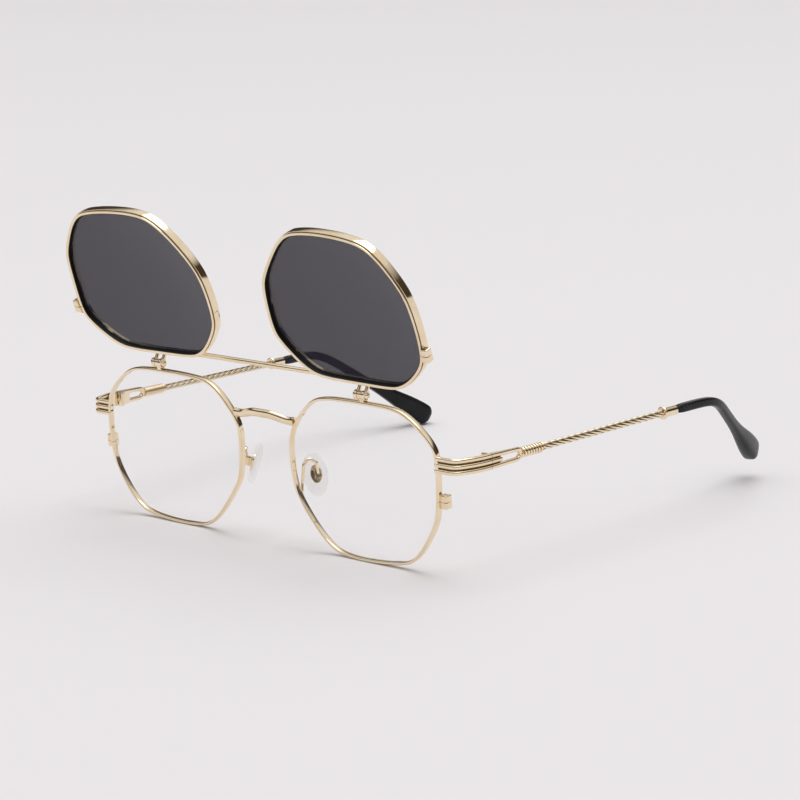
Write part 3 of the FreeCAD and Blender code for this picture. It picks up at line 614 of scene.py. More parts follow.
def extruded_loop(bm, edges):
    """The vertices and edges of a copy of a closed loop that is joined to it."""
    made = bmesh.ops.extrude_edge_only(bm, edges=edges)["geom"]
    verts = made_verts(made)
    ring = set(verts)
    loop = [item for item in made if isinstance(item, bmesh.types.BMEdge) and ring.issuperset(item.verts)]
    return verts, loop


def close_openings(bm):
    """Closes every open loop with a face."""
    bmesh.ops.holes_fill(bm, edges=[edge for edge in bm.edges if edge.is_boundary], sides=0)


def joined(shapes):
    """One shape made of several."""
    whole = bmesh.new()
    for shape in shapes:
        spare = bpy.data.meshes.new("spare_shape")
        shape.to_mesh(spare)
        shape.free()
        whole.from_mesh(spare)
        bpy.data.meshes.remove(spare)
    return whole


def outline_face(bm, grow):
    """One face of the rims' outline, its sides moved out by grow and its corners cut round."""
    sizes = settings().rim
    points = [Vector((x * sizes.half_width, 0, z * sizes.half_height)) for x, z in corner_shares]
    points = [point * sizes.outline_share for point in points]
    corners = []
    for place, point in enumerate(points):
        before = (point - points[place - 1]).normalized()
        after = (points[(place + 1) % len(points)] - point).normalized()
        out_before = Vector((-before.z, 0, before.x))
        out_after = Vector((-after.z, 0, after.x))
        step = grow / (1 + out_before.dot(out_after))
        corners.append(bm.verts.new(point + (out_before + out_after) * step))
    bm.faces.new(corners)
    for cut in [sizes.corner_cut] + [sizes.corner_soften] * sizes.corner_rounds:
        bmesh.ops.bevel(
            bm, geom=list(bm.verts), offset=cut, offset_type="PERCENT", affect="VERTICES",
            segments=1, profile=0.5, material=-1)
    bm.faces.ensure_lookup_table()
    return bm.faces[0]


def dish(bm, outset):
    """Moves a flat shape out and sinks it back along the dish of the lenses."""
    radius = settings().rim.dish_radius
    for vert in bm.verts:
        vert.co.x += outset
        flat = Vector((vert.co.x, vert.co.z))
        vert.co.y += radius - math.sqrt(radius ** 2 - flat.length_squared)


def thicken(bm, start, thickness):
    """Draws all flat faces out along Y from a start."""
    made = bmesh.ops.extrude_face_region(bm, geom=list(bm.faces), use_keep_orig=True)["geom"]
    bmesh.ops.translate(bm, vec=(0, thickness, 0), verts=made_verts(made))
    bmesh.ops.translate(bm, vec=(0, start, 0), verts=bm.verts)
    bmesh.ops.recalc_face_normals(bm, faces=bm.faces)


def ring_shape(grow, wall, start, thickness):
    """A flat ring of the rims' outline."""
    bm = bmesh.new()
    face = outline_face(bm, grow)
    bmesh.ops.inset_region(bm, faces=[face], thickness=wall, use_boundary=True, use_even_offset=True)
    bmesh.ops.delete(bm, geom=[face], context="FACES_ONLY")
    thicken(bm, start, thickness)
    return bm


def rounded_ring(grow, wall, start, depth, edge):
    """A flat ring of the rims' outline with round edges."""
    bm = ring_shape(grow, wall, start, depth)
    sharp = [line for line in bm.edges if line.calc_face_angle(0) > ring_edge_turn]
    bmesh.ops.bevel(
        bm, geom=sharp, offset=edge, offset_type="OFFSET", affect="EDGES", segments=edge_segments,
        profile=0.5, material=-1)
    return bm


def outer_faces(bm):
    """The faces on the outer half of a rim."""
    return [face for face in bm.faces if face.calc_center_median().x > 0]


def sawn_rim(bm, outset, slit_height):
    """Dishes a ring and saws it through at its lock."""
    half = settings().rim.slit / 2
    dish(bm, outset)
    for side in (-half, half):
        faces = outer_faces(bm)
        geom = list({item for face in faces for item in (*face.verts, *face.edges)}) + faces
        bmesh.ops.bisect_plane(
            bm, geom=geom, dist=merge_distance, plane_co=(0, 0, slit_height + side), plane_no=upwards)
    sawn = [face for face in outer_faces(bm) if abs(face.calc_center_median().z - slit_height) < half]
    bmesh.ops.delete(bm, geom=sawn, context="FACES")
    close_openings(bm)
    return bm


def main_rim_shape():
    """A main rim: one ring with round edges."""
    sizes = settings().rim
    ring = rounded_ring(sizes.main_wall / 2, sizes.main_wall, 0, sizes.depth, sizes.edge)
    return sawn_rim(ring, 0, sizes.slit_height)


def clip_rim_shape():
    """A clip rim: a deep band and a narrow lip with a groove between them."""
    sizes = settings().rim
    grow = sizes.wall / 2 + sizes.clip_oversize
    lip_start = sizes.clip_back - sizes.lip_depth
    band_depth = lip_start - sizes.groove_width - sizes.clip_front
    band = rounded_ring(grow, sizes.wall, sizes.clip_front, band_depth, sizes.clip_edge)
    lip = rounded_ring(
        grow - sizes.lip_step, sizes.wall - sizes.lip_step, lip_start, sizes.lip_depth, sizes.lip_edge)
    return sawn_rim(joined([band, lip]), sizes.clip_outset, sizes.clip_slit_height)


def clip_groove_shape():
    """The bottom of a clip rim's groove, which joins its band and its lip."""
    sizes = settings().rim
    grow = sizes.wall / 2 + sizes.clip_oversize - sizes.groove_depth
    start = sizes.clip_back - sizes.lip_depth - sizes.groove_width - sizes.clip_edge
    depth = sizes.groove_width + sizes.clip_edge + sizes.lip_edge
    neck = ring_shape(grow, sizes.wall - sizes.groove_depth, start, depth)
    return sawn_rim(neck, sizes.clip_outset, sizes.clip_slit_height)


def lens_shape(grow, start, thickness, outset):
    """A dished lens, cut into rings from its edge to its middle."""
    bm = bmesh.new()
    face = outline_face(bm, grow)
    edges = list(face.edges)
    bmesh.ops.delete(bm, geom=[face], context="FACES_ONLY")
    for left in range(settings().rim.lens_rings, 1, -1):
        share = (left - 1) / left
        verts, edges = extruded_loop(bm, edges)
        bmesh.ops.scale(bm, vec=(share, 1, share), verts=verts)
    middle = bmesh.ops.contextual_create(bm, geom=edges)["faces"]
    bmesh.ops.poke(bm, faces=middle)
    thicken(bm, start, thickness)
    dish(bm, outset)
    return bm


def clear_lens_shape():
    """The clear lens in a main rim."""
    sizes = settings().rim
    return lens_shape(-sizes.main_wall / 2, sizes.lens_front, sizes.lens_thickness, 0)


def sun_lens_shape():
    """The grey lens in a clip rim."""
    sizes = settings().rim
    grow = sizes.clip_oversize - sizes.wall / 2
    return lens_shape(grow, sizes.sun_front, sizes.sun_thickness, sizes.clip_outset)


def gasket_shape():
    """The black band round a grey lens, with a narrow lip on the lens."""
    sizes = settings().rim
    grow = sizes.clip_oversize - sizes.wall / 2
    start = sizes.sun_front + sizes.sun_thickness
    lip = ring_shape(grow, sizes.gasket_lip, start, sizes.gasket_wall)
    band_start = start + sizes.gasket_wall / 2
    band = ring_shape(grow, sizes.gasket_wall, band_start, sizes.gasket_back - band_start)
    bm = joined([lip, band])
    dish(bm, sizes.clip_outset)
    return bm


def round_ring(segments):
    """A round ring of radius one with no face."""
    bm = bmesh.new()
    bmesh.ops.create_circle(bm, segments=segments, radius=1)
    return bm


def soft_square(corner, segments):
    """A square of half side one with round corners and no face."""
    bm = bmesh.new()
    bmesh.ops.create_grid(bm, x_segments=1, y_segments=1, size=1)
    bmesh.ops.bevel(
        bm, geom=list(bm.verts), offset=corner, offset_type="OFFSET", affect="VERTICES",
        segments=segments, profile=0.5, material=-1)
    bmesh.ops.delete(bm, geom=list(bm.faces), context="FACES_ONLY")
    return bm


def station(point, along, across, width, height):
    """The place of a section square to a line, as wide and as high as given on each side of it."""
    side = along.cross(across).normalized()
    up = side.cross(along).normalized()
    return Matrix.Translation(point) @ Matrix((side * width, up * height, along)).transposed().to_4x4()


def drawn(bm, places):
    """Carries a section through a row of places, joins them and closes both ends."""
    verts = list(bm.verts)
    edges = list(bm.edges)
    bmesh.ops.contextual_create(bm, geom=edges)
    last = Matrix.Identity(4)
    for step, place in enumerate(places):
        if step:
            verts, edges = extruded_loop(bm, edges)
        bmesh.ops.transform(bm, matrix=place @ last.inverted(), verts=verts)
        last = place
    bmesh.ops.contextual_create(bm, geom=edges)
    return bm


def bar(section, points, across, sizes):
    """A section drawn along a line of points, with a half width and a half height at each."""
    last = len(points) - 1
    places = []
    for step, (width, height) in enumerate(sizes):
        along = (points[min(step + 1, last)] - points[max(step - 1, 0)]).normalized()
        places.append(station(points[step], along, across, width, height))
    return drawn(section, places)


def even_bar(section, points, across, width, height):
    """A section drawn along a line of points at one half width and half height."""
    return bar(section, points, across, [(width, height)] * len(points))


def shaped_bar(section, begin, run, across, shares, width, height):
    """A section drawn along a straight run, at shares of the run and of a half width and half height."""
    points = [begin + run * place for place, share in shares]
    return bar(section, points, across, [(width * share, height * share) for place, share in shares])


def ridge_section():
    """The section of a ridge of the end pieces and forks."""
    return soft_square(settings().temple.ridge_corner, ridge_segments)


def eased(share):
    """A smooth step from zero to one."""
    share = min(max(share, 0), 1)
    return share * share * (3 - 2 * share)


def square_to(forward, way):
    """The direction square to forward that leans to a way."""
    return (way - forward * way.dot(forward)).normalized()


def on_bend(begin, forward, side, radius, part):
    """The point at an angle round a bend that starts forward and turns to a side."""
    return begin + forward * (radius * math.sin(part)) + side * (radius * (1 - math.cos(part)))


def clip_bar_shape():
    """A round bar with domed ends."""
    sizes = settings().rim
    shares = [(-place, share) for place, share in bar_end_shares] + list(reversed(bar_end_shares))
    middle = Vector((0, sizes.bar_depth, sizes.bar_height))
    return shaped_bar(
        round_ring(wire_segments), middle, outwards * sizes.bar_reach, upwards, shares,
        sizes.bar_radius, sizes.bar_radius)


def bridge_shape():
    """An oval band that rises and comes forward between two level feet."""
    sizes = settings().bridge
    points = []
    halves = []
    for step in range(bridge_steps + 1):
        x = sizes.reach * (2 * step / bridge_steps - 1)
        lift = eased((sizes.knee - abs(x)) / (sizes.knee - sizes.crown))
        y = sizes.depth - sizes.forward * lift
        points.append(Vector((x, y, sizes.foot_height + sizes.rise * lift)))
        swell = sizes.flare * eased((abs(x) - sizes.reach + sizes.flare_length) / sizes.flare_length)
        halves.append((sizes.half_depth + swell, sizes.half_height + swell))
    return bar(round_ring(wire_segments), points, upwards, halves)


def ears_shape():
    """Two barrels on the flip axis, each on a leg that swells where it meets the rim."""
    sizes = settings().rim
    bars = []
    for step in (-sizes.ear_step, sizes.ear_step):
        x = sizes.hinge_offset + step
        axis = Vector((x, sizes.axis_depth, sizes.axis_height))
        foot = Vector((x, sizes.ear_foot_depth, sizes.ear_foot_height))
        bars.append(shaped_bar(
            round_ring(barrel_segments), axis, outwards * sizes.ear_width, upwards, ear_barrel_shares,
            sizes.ear_radius, sizes.ear_radius))
        bars.append(shaped_bar(
            round_ring(leg_segments), foot, axis - foot, outwards, ear_leg_shares,
            sizes.ear_foot_radius, sizes.ear_foot_radius))
    return joined(bars)


def end_line(shift, height):
    """A line from the seam forward, round the corner and in to the rim, moved out and up."""
    sizes = settings().temple
    inward = Vector((-math.cos(sizes.splay), -math.sin(sizes.splay), 0))
    seam = Vector((shift, -sizes.end_gap, height))
    corner = Vector((shift - sizes.end_inset, -sizes.end_setback - shift, height))
    bend = Vector((shift, -sizes.end_setback * sizes.end_bend_share, height))
    forward = (corner - bend).normalized()
    side = square_to(forward, inward)
    turn = forward.angle(inward)
    radius = sizes.end_bend + shift
    begin = corner - forward * (radius * math.tan(turn / 2))
    points = []
    for step in range(end_lean_steps):
        part = step / end_lean_steps
        points.append(seam.lerp(bend, part).lerp(bend.lerp(begin, part), part))
    for step in range(end_bend_steps + 1):
        points.append(on_bend(begin, forward, side, radius, turn * step / end_bend_steps))
    points.append(corner + inward * (sizes.end_inward + shift))
    return points


def end_shape():
    """Three ridges side by side."""
    sizes = settings().temple
    ridges = []
    for row in (-1, 0, 1):
        points = end_line(sizes.ridge_shift, row * sizes.ridge_pitch)
        ridges.append(even_bar(
            ridge_section(), points, upwards, sizes.ridge_half_depth, sizes.ridge_half_height))
    return joined(ridges)


def end_groove_shape():
    """The back of the grooves, behind the ridges of an end piece."""
    sizes = settings().temple
    points = end_line(sizes.groove_place, 0)
    return even_bar(ridge_section(), points, upwards, sizes.groove_half_depth, sizes.ridge_pitch)


def screw_shape():
    """A plain shaft under a low domed head."""
    sizes = settings().temple
    return shaped_bar(
        round_ring(screw_segments), outwards * -sizes.hinge_inset, upwards * sizes.screw_half_height,
        backwards, screw_shares, sizes.screw_head, sizes.screw_head)


def fork_shape():
    """A ridge bent into a long loop round the slot, with a middle ridge that ends at the slot."""
    sizes = settings().temple
    half_height = sizes.ridge_half_height
    half_depth = sizes.ridge_half_depth
    turn_place = sizes.fork_length - half_height - sizes.fork_end_pitch
    points = [Vector((sizes.ridge_shift, 0, sizes.ridge_pitch))]
    for step in range(fork_bend_steps + 1):
        part = math.pi * step / fork_bend_steps
        reach = turn_place + sizes.fork_end_pitch * math.sin(part)
        points.append(Vector((sizes.ridge_shift, reach, sizes.fork_end_pitch * math.cos(part))))
    points.append(Vector((sizes.ridge_shift, 0, -sizes.ridge_pitch)))
    loop = even_bar(ridge_section(), points, outwards, half_height, half_depth)
    middle = shaped_bar(
        ridge_section(), outwards * sizes.ridge_shift, backwards * sizes.slot_start, outwards,
        fork_end_shares, half_height, half_depth)
    return joined([loop, middle])


def fork_groove_shape():
    """The back of the grooves, behind the ridges of a fork."""
    sizes = settings().temple
    return shaped_bar(
        ridge_section(), outwards * sizes.groove_place, backwards * sizes.slot_start, outwards,
        fork_groove_shares, sizes.ridge_pitch, sizes.groove_half_depth)


def wind(bm, segments, radius, place, run, turns, turn_steps):
    """Winds a round wire from a place along and round the temple's line."""
    ring = bmesh.ops.create_circle(bm, segments=segments, radius=radius, matrix=place)["verts"]
    edges = list({edge for vert in ring for edge in vert.link_edges})
    steps = math.ceil(turns * turn_steps)
    bmesh.ops.spin(
        bm, geom=ring + edges, cent=(0, 0, 0), axis=backwards, dvec=(0, run / steps, 0),
        angle=math.tau * turns, steps=steps, use_merge=False)


def lay_rod(bm, radius, start, stop):
    """A round rod along the temple's line."""
    place = Matrix.Translation((0, (start + stop) / 2, 0)) @ Matrix.Rotation(math.pi / 2, 4, "X")
    bmesh.ops.create_cone(
        bm, cap_ends=True, segments=rod_segments, radius1=radius, radius2=radius, depth=stop - start,
        matrix=place)


def rope_shape():
    """Round strands carried along and round the temple's line."""
    sizes = settings().temple
    turns = sizes.rope_length / sizes.rope_pitch
    slope = math.atan2(math.tau * sizes.strand_offset, sizes.rope_pitch)
    along = Matrix.Translation((0, sizes.fork_length + sizes.coil_length, 0))
    out = Matrix.Translation((sizes.strand_offset, 0, 0))
    lean = Matrix.Rotation(-slope, 4, "X")
    flat = Matrix.Rotation(math.pi / 2, 4, "X")
    bm = bmesh.new()
    for strand in range(sizes.strand_count):
        round_turn = Matrix.Rotation(math.tau * strand / sizes.strand_count, 4, "Y")
        place = along @ round_turn @ out @ lean @ flat
        wind(bm, strand_segments, sizes.strand_radius, place, sizes.rope_length, turns, strand_steps)
    close_openings(bm)
    return bm


def rope_core_shape():
    """The core, dark metal as painted shade, that shows between the strands."""
    sizes = settings().temple
    start = sizes.fork_length + sizes.coil_length
    bm = bmesh.new()
    lay_rod(bm, sizes.rope_core, start, start + sizes.rope_length)
    return bm


def coil_shape():
    """A close winding of round wire on a sleeve."""
    sizes = settings().temple
    start = sizes.fork_length - sizes.coil_lap
    stop = sizes.fork_length + sizes.coil_length
    room = stop - start - sizes.coil_wire * 2
    place = Matrix.Translation((sizes.coil_radius, start + sizes.coil_wire, 0))
    bm = bmesh.new()
    wind(bm, coil_segments, sizes.coil_wire, place, room, sizes.coil_turns, coil_steps)
    close_openings(bm)
    lay_rod(bm, sizes.coil_core, start, stop)
    return bm


def tip_line():
    """The bend of a tip's line: its start, its way out, and the lengths before, along and after it."""
    sizes = settings().temple
    collar_end = sizes.fork_length + sizes.coil_length + sizes.rope_length + sizes.collar_length
    run = Vector((-sizes.tip_inset, sizes.tip_reach, -sizes.tip_fall))
    way = run.normalized()
    turn = backwards.angle(way)
    tangent = sizes.tip_bend * math.tan(turn / 2)
    lead = sizes.tip_straight - tangent
    begin = backwards * (collar_end + lead)
    return begin, way, (lead, sizes.tip_bend * turn, run.length - tangent)


def on_tip_line(place):
    """The point and direction at a distance along a tip."""
    radius = settings().temple.tip_bend
    begin, way, lengths = tip_line()
    lead, arc = lengths[:2]
    if place <= lead:
        return begin + backwards * (place - lead), backwards
    side = square_to(backwards, way)
    part = min(place - lead, arc) / radius
    point = on_bend(begin, backwards, side, radius, part)
    if place <= lead + arc:
        return point, backwards * math.cos(part) + side * math.sin(part)
    return point + way * (place - lead - arc), way


def tip_sections():
    """Place of each section of a tip, how far it has flared, and the share of its size at the round end."""
    end_round = settings().temple.tip_end_round
    lengths = tip_line()[-1]
    body = sum(lengths) - end_round
    last = len(tip_flare_shares) - 1
    sections = [(body * step / last, flare, 1) for step, flare in enumerate(tip_flare_shares)]
    for share in tip_round_shares:
        sections.append((body + end_round * share, 1, math.sqrt(1 - (tip_round_cut * share) ** 2)))
    return sections


def tip_shape():
    """A tip drawn out section by section along its bent line, from a square with round corners."""
    sizes = settings().temple
    places = []
    for place, flare, left in tip_sections():
        point, along = on_tip_line(place)
        height = sizes.tip_neck + (sizes.tip_end_height - sizes.tip_neck) * flare
        width = sizes.tip_neck + (sizes.tip_end_width - sizes.tip_neck) * flare
        lift = (sizes.tip_end_height - sizes.tip_end_low) / 2 * flare
        middle = point + square_to(along, upwards) * lift
        places.append(station(middle, along, upwards, width * left / 2, height * left / 2))
    return drawn(soft_square(sizes.tip_corner, tip_segments), places)


def pad_shape():
    """An oval cushion with a rounded edge and a face that is a little hollow."""
    sizes = settings().pad
    bm = bmesh.new()
    corners = [
        bm.verts.new((sizes.back - sizes.thickness * deep, 0, sizes.half_length * share))
        for share, deep in pad_ring_shares]
    edges = [bm.edges.new(pair) for pair in zip(corners, corners[1:])]
    bmesh.ops.spin(
        bm, geom=corners + edges, cent=(0, 0, 0), axis=outwards, angle=math.tau, steps=pad_steps,
        use_merge=True)
    bmesh.ops.remove_doubles(bm, verts=bm.verts, dist=pad_merge_distance)
    bmesh.ops.scale(bm, vec=(1, sizes.half_width / sizes.half_length, 1), verts=bm.verts)
    return bm


def make_floor():
    """A wide pale floor."""
    bm = bmesh.new()
    bmesh.ops.create_grid(bm, x_segments=2, y_segments=2, size=settings().stage.floor_size / 2)
    mesh = bpy.data.meshes.new("studio_floor")
    bm.to_mesh(mesh)
    bm.free()
    mesh.materials.append(floor_material())
    floor = bpy.data.objects.new("studio_floor", mesh)
    bpy.context.scene.collection.objects.link(floor)


def make_sky():
    """A pale low horizon, a dim band above it, soft light from overhead and a light box at the back."""
    stage = settings().stage
    world = bpy.data.worlds.new("studio_sky")
    world.use_nodes = True
    bpy.context.scene.world = world
    tree = world.node_tree
    background = next(node for node in tree.nodes if node.type == "BACKGROUND")
    place = tree.nodes.new("ShaderNodeTexCoord").outputs["Generated"]
    split = tree.nodes.new("ShaderNodeSeparateXYZ")
    tree.links.new(place, split.inputs["Vector"])
    pale = dimmed(settings().finish.floor, horizon_share / stage.sky_strength)
    low = [(0, pale), (horizon_top, pale), (dim_start, dim_colour)]
    high = [(1, dimmed(lamp_warmth, full_light))]
    back = [(back_dim_stop, dim_colour), (back_light_start, dimmed(lamp_warmth, back_light))]
    front = [(front_dim_stop, dim_colour), (front_light_start, dimmed(lamp_warmth, full_light))]
    back_shade = add_shades(tree, split.outputs["Z"], low + back + high)
    front_shade = add_shades(tree, split.outputs["Z"], low + front + high)
    sky = tree.nodes.new("ShaderNodeMix")
    sky.data_type = "RGBA"
    tree.links.new(
        add_range(tree, split.outputs["Y"], sky_turn_span, (0, 1), "SMOOTHSTEP"), sky.inputs["Factor"])
    tree.links.new(front_shade, sky.inputs["A"])
    tree.links.new(back_shade, sky.inputs["B"])
    facing = tree.nodes.new("ShaderNodeVectorMath")
    facing.operation = "DOT_PRODUCT"
    facing.inputs[1].default_value = box_direction
    tree.links.new(place, facing.inputs[0])
    fade = (math.cos(box_outer_angle), math.cos(box_inner_angle))
    box = add_range(tree, facing.outputs["Value"], fade, (0, stage.box_strength), "SMOOTHSTEP")
    total = tree.nodes.new("ShaderNodeVectorMath")
    total.operation = "ADD"
    tree.links.new(sky.outputs["Result"], total.inputs[0])
    tree.links.new(box, total.inputs[1])
    tree.links.new(total.outputs["Vector"], background.inputs["Color"])
    background.inputs["Strength"].default_value = stage.sky_strength


def make_lamp():
    """A wide soft light from overhead."""
    stage = settings().stage
    lamp = bpy.data.lights.new("overhead_light", "SUN")
    lamp.energy = stage.lamp_power
    lamp.angle = stage.lamp_angle
    holder = bpy.data.objects.new("overhead_light", lamp)
    holder.rotation_euler = (-stage.lamp_lean, 0, 0)
    bpy.context.scene.collection.objects.link(holder)


def make_camera():
    """The camera at the photograph's angle."""
    stage = settings().stage
    data = bpy.data.cameras.new("view")
    data.sensor_fit = "HORIZONTAL"
    data.sensor_width = stage.sensor
    data.lens = stage.lens
    data.clip_start = camera_near
    data.clip_end = camera_far
    camera = bpy.data.objects.new("view", data)
    back = Vector(stage.camera_back).normalized()
    right = Vector(stage.camera_up).cross(back).normalized()
    up = back.cross(right)
    turn = Matrix((right, up, back)).transposed().to_4x4()
    camera.matrix_world = Matrix.Translation(stage.camera_place) @ turn
    bpy.context.scene.collection.objects.link(camera)
    bpy.context.scene.camera = camera


class SUNGLASSES_OT_stage(bpy.types.Operator):
    """Sets the pale floor, the soft studio light and the camera"""

    bl_idname = "sunglasses.stage"
    bl_label = "Stage"

    def execute(self, context):
        """Builds the floor, the sky, the lamp and the camera."""
        make_floor()
        make_sky()
        make_lamp()
        make_camera()
        context.scene.view_settings.view_transform = "Standard"
        return {"FINISHED"}


class SUNGLASSES_OT_metalwork(bpy.types.Operator):
    """Gives every metal piece of the frame, the temples and the clip its polished gold"""

    bl_idname = "sunglasses.metalwork"
    bl_label = "Gold metalwork"

    def execute(self, context):
        """Puts the gold on each metal node, and mixes the dark metal that paints shade into the grooves and
        between the rope's strands.
        """
        gold = gold_material()
        painted_shade_material()
        for subpart in frame["record"]["subparts"]:
            if subpart["material_slot"] == "gold_metal":
                node = frame["nodes"][subpart["node"]]
                for slot in node.material_slots:
                    slot.material = gold
        return {"FINISHED"}


class SUNGLASSES_OT_rims(bpy.types.Operator):
    """Bends the four metal rims, of the front and of the clip"""

    bl_idname = "sunglasses.rims"
    bl_label = "Rims"

    def execute(self, context):
        """Builds a main rim and a clip rim on each side."""
        gold = bpy.data.materials["polished_gold"]
        shade_paint = bpy.data.materials["painted_shade_metal"]
        make_pair("wire_rim", main_rim_shape, rim_matrix, "front_frame", gold, "rim")
        make_pair("band_rim", clip_rim_shape, clip_matrix, "clip", gold, "clip_rim")
        # The bottom of each clip groove is dark metal, painted shade in the groove
        make_pair("clip_groove", clip_groove_shape, clip_matrix, "clip", shade_paint)
        return {"FINISHED"}


class SUNGLASSES_OT_clip_bar(bpy.types.Operator):
    """Lays the straight bar across the two rims of the clip"""

    bl_idname = "sunglasses.clip_bar"
    bl_label = "Clip bar"

    def execute(self, context):
        """Builds the bar."""
        gold = bpy.data.materials["polished_gold"]
        place = turned_up() @ front_matrix()
        finish_piece("straight_clip_bar", clip_bar_shape(), place, "clip", gold, ["clip_bar"])
        return {"FINISHED"}


class SUNGLASSES_OT_bridge(bpy.types.Operator):
    """Bends the saddle bridge between the rims"""

    bl_idname = "sunglasses.bridge"
    bl_label = "Bridge"

    def execute(self, context):
        """Builds the bridge."""
        gold = bpy.data.materials["polished_gold"]
        finish_piece(
            "saddle_bridge", bridge_shape(), front_matrix(), "front_frame", gold, ["bridge"])
        return {"FINISHED"}


class SUNGLASSES_OT_clear_lenses(bpy.types.Operator):
    """Makes the clear lenses of the front"""

    bl_idname = "sunglasses.clear_lenses"
    bl_label = "Clear lenses"

    def execute(self, context):
        """Builds a clear lens for each side."""
        clear = clear_lens_material()
        make_pair("clear_lens", clear_lens_shape, rim_matrix, "front_frame", clear, "lens")
        return {"FINISHED"}


class SUNGLASSES_OT_sun_lenses(bpy.types.Operator):
    """Makes the grey lenses of the clip and the black gaskets round them"""

    bl_idname = "sunglasses.sun_lenses"
    bl_label = "Grey lenses"

    def execute(self, context):
        """Builds a lens and a gasket for each side."""
        grey = grey_lens_material()
        black = gasket_material()
        lenses = make_pair("smoke_lens", sun_lens_shape, clip_matrix, "clip", grey, "sun_lens")
        for lens in lenses:
            lens.visible_shadow = False
        make_pair("lens_gasket", gasket_shape, clip_matrix, "clip", black)
        return {"FINISHED"}


class SUNGLASSES_OT_hinge_ears(bpy.types.Operator):
    """Sets the round ears of the flip hinges on the clip's rims"""

    bl_idname = "sunglasses.hinge_ears"
    bl_label = "Flip hinge ears"

    def execute(self, context):
        """Builds one pair of ears on each side."""
        gold = bpy.data.materials["polished_gold"]
        make_pair("hinge_ears", ears_shape, clip_matrix, "clip", gold, "flip_lug")
        return {"FINISHED"}


class SUNGLASSES_OT_end_pieces(bpy.types.Operator):
    """Bends the ridged end pieces round from the rims to the temples"""

    bl_idname = "sunglasses.end_pieces"
    bl_label = "End pieces"

    def execute(self, context):
        """Builds one end piece on each side."""
        gold = bpy.data.materials["polished_gold"]
        shade_paint = bpy.data.materials["painted_shade_metal"]
        make_pair("ridged_end", end_shape, temple_matrix, "front_frame", gold, "end_piece")
        # The back of the grooves is dark metal, painted shade between the ridges
        make_pair("end_groove", end_groove_shape, temple_matrix, "front_frame", shade_paint)
        return {"FINISHED"}


class SUNGLASSES_OT_hinge_screws(bpy.types.Operator):
    """Sets the low screws that the temples turn on"""

    bl_idname = "sunglasses.hinge_screws"
    bl_label = "Hinge screws"

    def execute(self, context):
        """Builds one screw on each side."""
        gold = bpy.data.materials["polished_gold"]
        make_pair("low_screw", screw_shape, temple_matrix, "front_frame", gold, "hinge_screw")
        return {"FINISHED"}


class SUNGLASSES_OT_forks(bpy.types.Operator):
    """Bends the looped forks at the front of the temples"""

    bl_idname = "sunglasses.forks"
    bl_label = "Temple forks"

    def execute(self, context):
        """Builds one fork on each side."""
        gold = bpy.data.materials["polished_gold"]
        shade_paint = bpy.data.materials["painted_shade_metal"]
        make_pair("looped_fork", fork_shape, temple_matrix, "temple_{}", gold, "temple_fork")
        # The back of the grooves is dark metal, painted shade between the ridges
        make_pair("fork_groove", fork_groove_shape, temple_matrix, "temple_{}", shade_paint)
        return {"FINISHED"}


class SUNGLASSES_OT_ropes(bpy.types.Operator):
    """Lays the strands of the two rope temples"""

    bl_idname = "sunglasses.ropes"
    bl_label = "Rope temples"

    def execute(self, context):
        """Twists the strands of each side round a core."""
        gold = bpy.data.materials["polished_gold"]
        shade_paint = bpy.data.materials["painted_shade_metal"]
        make_pair("rope_strands", rope_shape, temple_matrix, "temple_{}", gold, "rope")
        # The core is dark metal, painted shade between the strands
        make_pair("rope_core", rope_core_shape, temple_matrix, "temple_{}", shade_paint)
        return {"FINISHED"}


class SUNGLASSES_OT_coils(bpy.types.Operator):
    """Winds the coil between each fork and rope"""

    bl_idname = "sunglasses.coils"
    bl_label = "Coils"

    def execute(self, context):
        """Winds one coil and its sleeve on each side."""
        gold = bpy.data.materials["polished_gold"]
        make_pair("wound_coil", coil_shape, temple_matrix, "temple_{}", gold, "ferrule")
        return {"FINISHED"}


class SUNGLASSES_OT_tips(bpy.types.Operator):
    """Shapes the black tips that hook over the ears"""

    bl_idname = "sunglasses.tips"
    bl_label = "Tips"

    def execute(self, context):
        """Shapes one tip on each side."""
        black = tip_material()
        tips = make_pair(
            "ear_tip", tip_shape, temple_matrix, "temple_{}", black, "tip", crisp=math.pi)
        for tip in tips:
            subdivide(tip, levels=2)
        return {"FINISHED"}


class SUNGLASSES_OT_nose_pads(bpy.types.Operator):
    """Moulds the soft clear pads round their metal cores"""

    bl_idname = "sunglasses.nose_pads"
    bl_label = "Nose pads"

    def execute(self, context):
        """Moulds one pad on each side."""
        silicone = silicone_material()
        pads = make_pair(
            "soft_pad", pad_shape, pad_matrix, "{}_nose_pad", silicone, "nose_pad",
            crisp=math.pi)
        for pad in pads:
            subdivide(pad, levels=1)
        return {"FINISHED"}


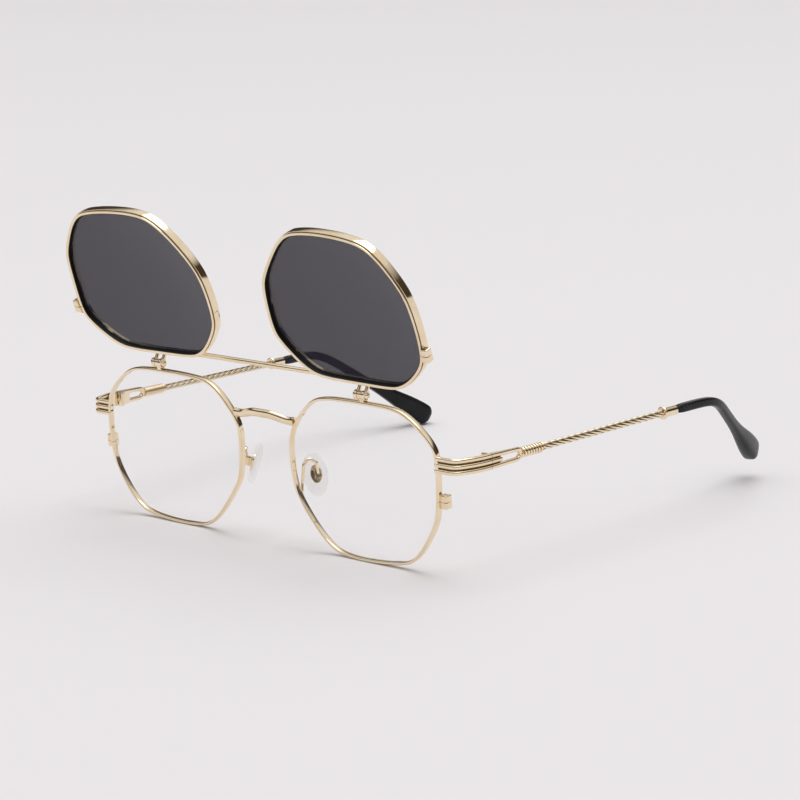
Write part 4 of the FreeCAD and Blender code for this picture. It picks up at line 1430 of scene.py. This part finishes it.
class SUNGLASSES_PT_panel(bpy.types.Panel):
    """Lists the steps that dress the sunglasses"""

    bl_idname = "SUNGLASSES_PT_panel"
    bl_label = "Flip-up Sunglasses"
    bl_space_type = "VIEW_3D"
    bl_region_type = "UI"
    bl_category = "Sunglasses"

    def draw(self, context):
        """One button for each step."""
        for step in steps:
            self.layout.operator(step.bl_idname)


steps = (
    SUNGLASSES_OT_stage, SUNGLASSES_OT_metalwork, SUNGLASSES_OT_rims, SUNGLASSES_OT_clip_bar,
    SUNGLASSES_OT_bridge, SUNGLASSES_OT_clear_lenses, SUNGLASSES_OT_sun_lenses, SUNGLASSES_OT_hinge_ears,
    SUNGLASSES_OT_end_pieces, SUNGLASSES_OT_hinge_screws, SUNGLASSES_OT_forks, SUNGLASSES_OT_ropes,
    SUNGLASSES_OT_coils, SUNGLASSES_OT_tips, SUNGLASSES_OT_nose_pads)
classes = (
    RimSizes, BridgeSizes, TempleSizes, PadSizes, Finishes, StageSizes, SunglassesSettings, *steps,
    SUNGLASSES_PT_panel)


def register():
    """Adds the classes and the settings."""
    for cls in classes:
        bpy.utils.register_class(cls)
    bpy.types.Scene.sunglasses = PointerProperty(type=SunglassesSettings)


def unregister():
    """Takes the settings and the classes away."""
    del bpy.types.Scene.sunglasses
    for cls in reversed(classes):
        bpy.utils.unregister_class(cls)


def main():
    """Dresses the whole object."""
    register()
    bpy.ops.sunglasses.stage()
    bpy.ops.sunglasses.metalwork()
    bpy.ops.sunglasses.rims()
    bpy.ops.sunglasses.clip_bar()
    bpy.ops.sunglasses.bridge()
    bpy.ops.sunglasses.clear_lenses()
    bpy.ops.sunglasses.sun_lenses()
    bpy.ops.sunglasses.hinge_ears()
    bpy.ops.sunglasses.end_pieces()
    bpy.ops.sunglasses.hinge_screws()
    bpy.ops.sunglasses.forks()
    bpy.ops.sunglasses.ropes()
    bpy.ops.sunglasses.coils()
    bpy.ops.sunglasses.tips()
    bpy.ops.sunglasses.nose_pads()


if __name__ == "__main__":
    main()
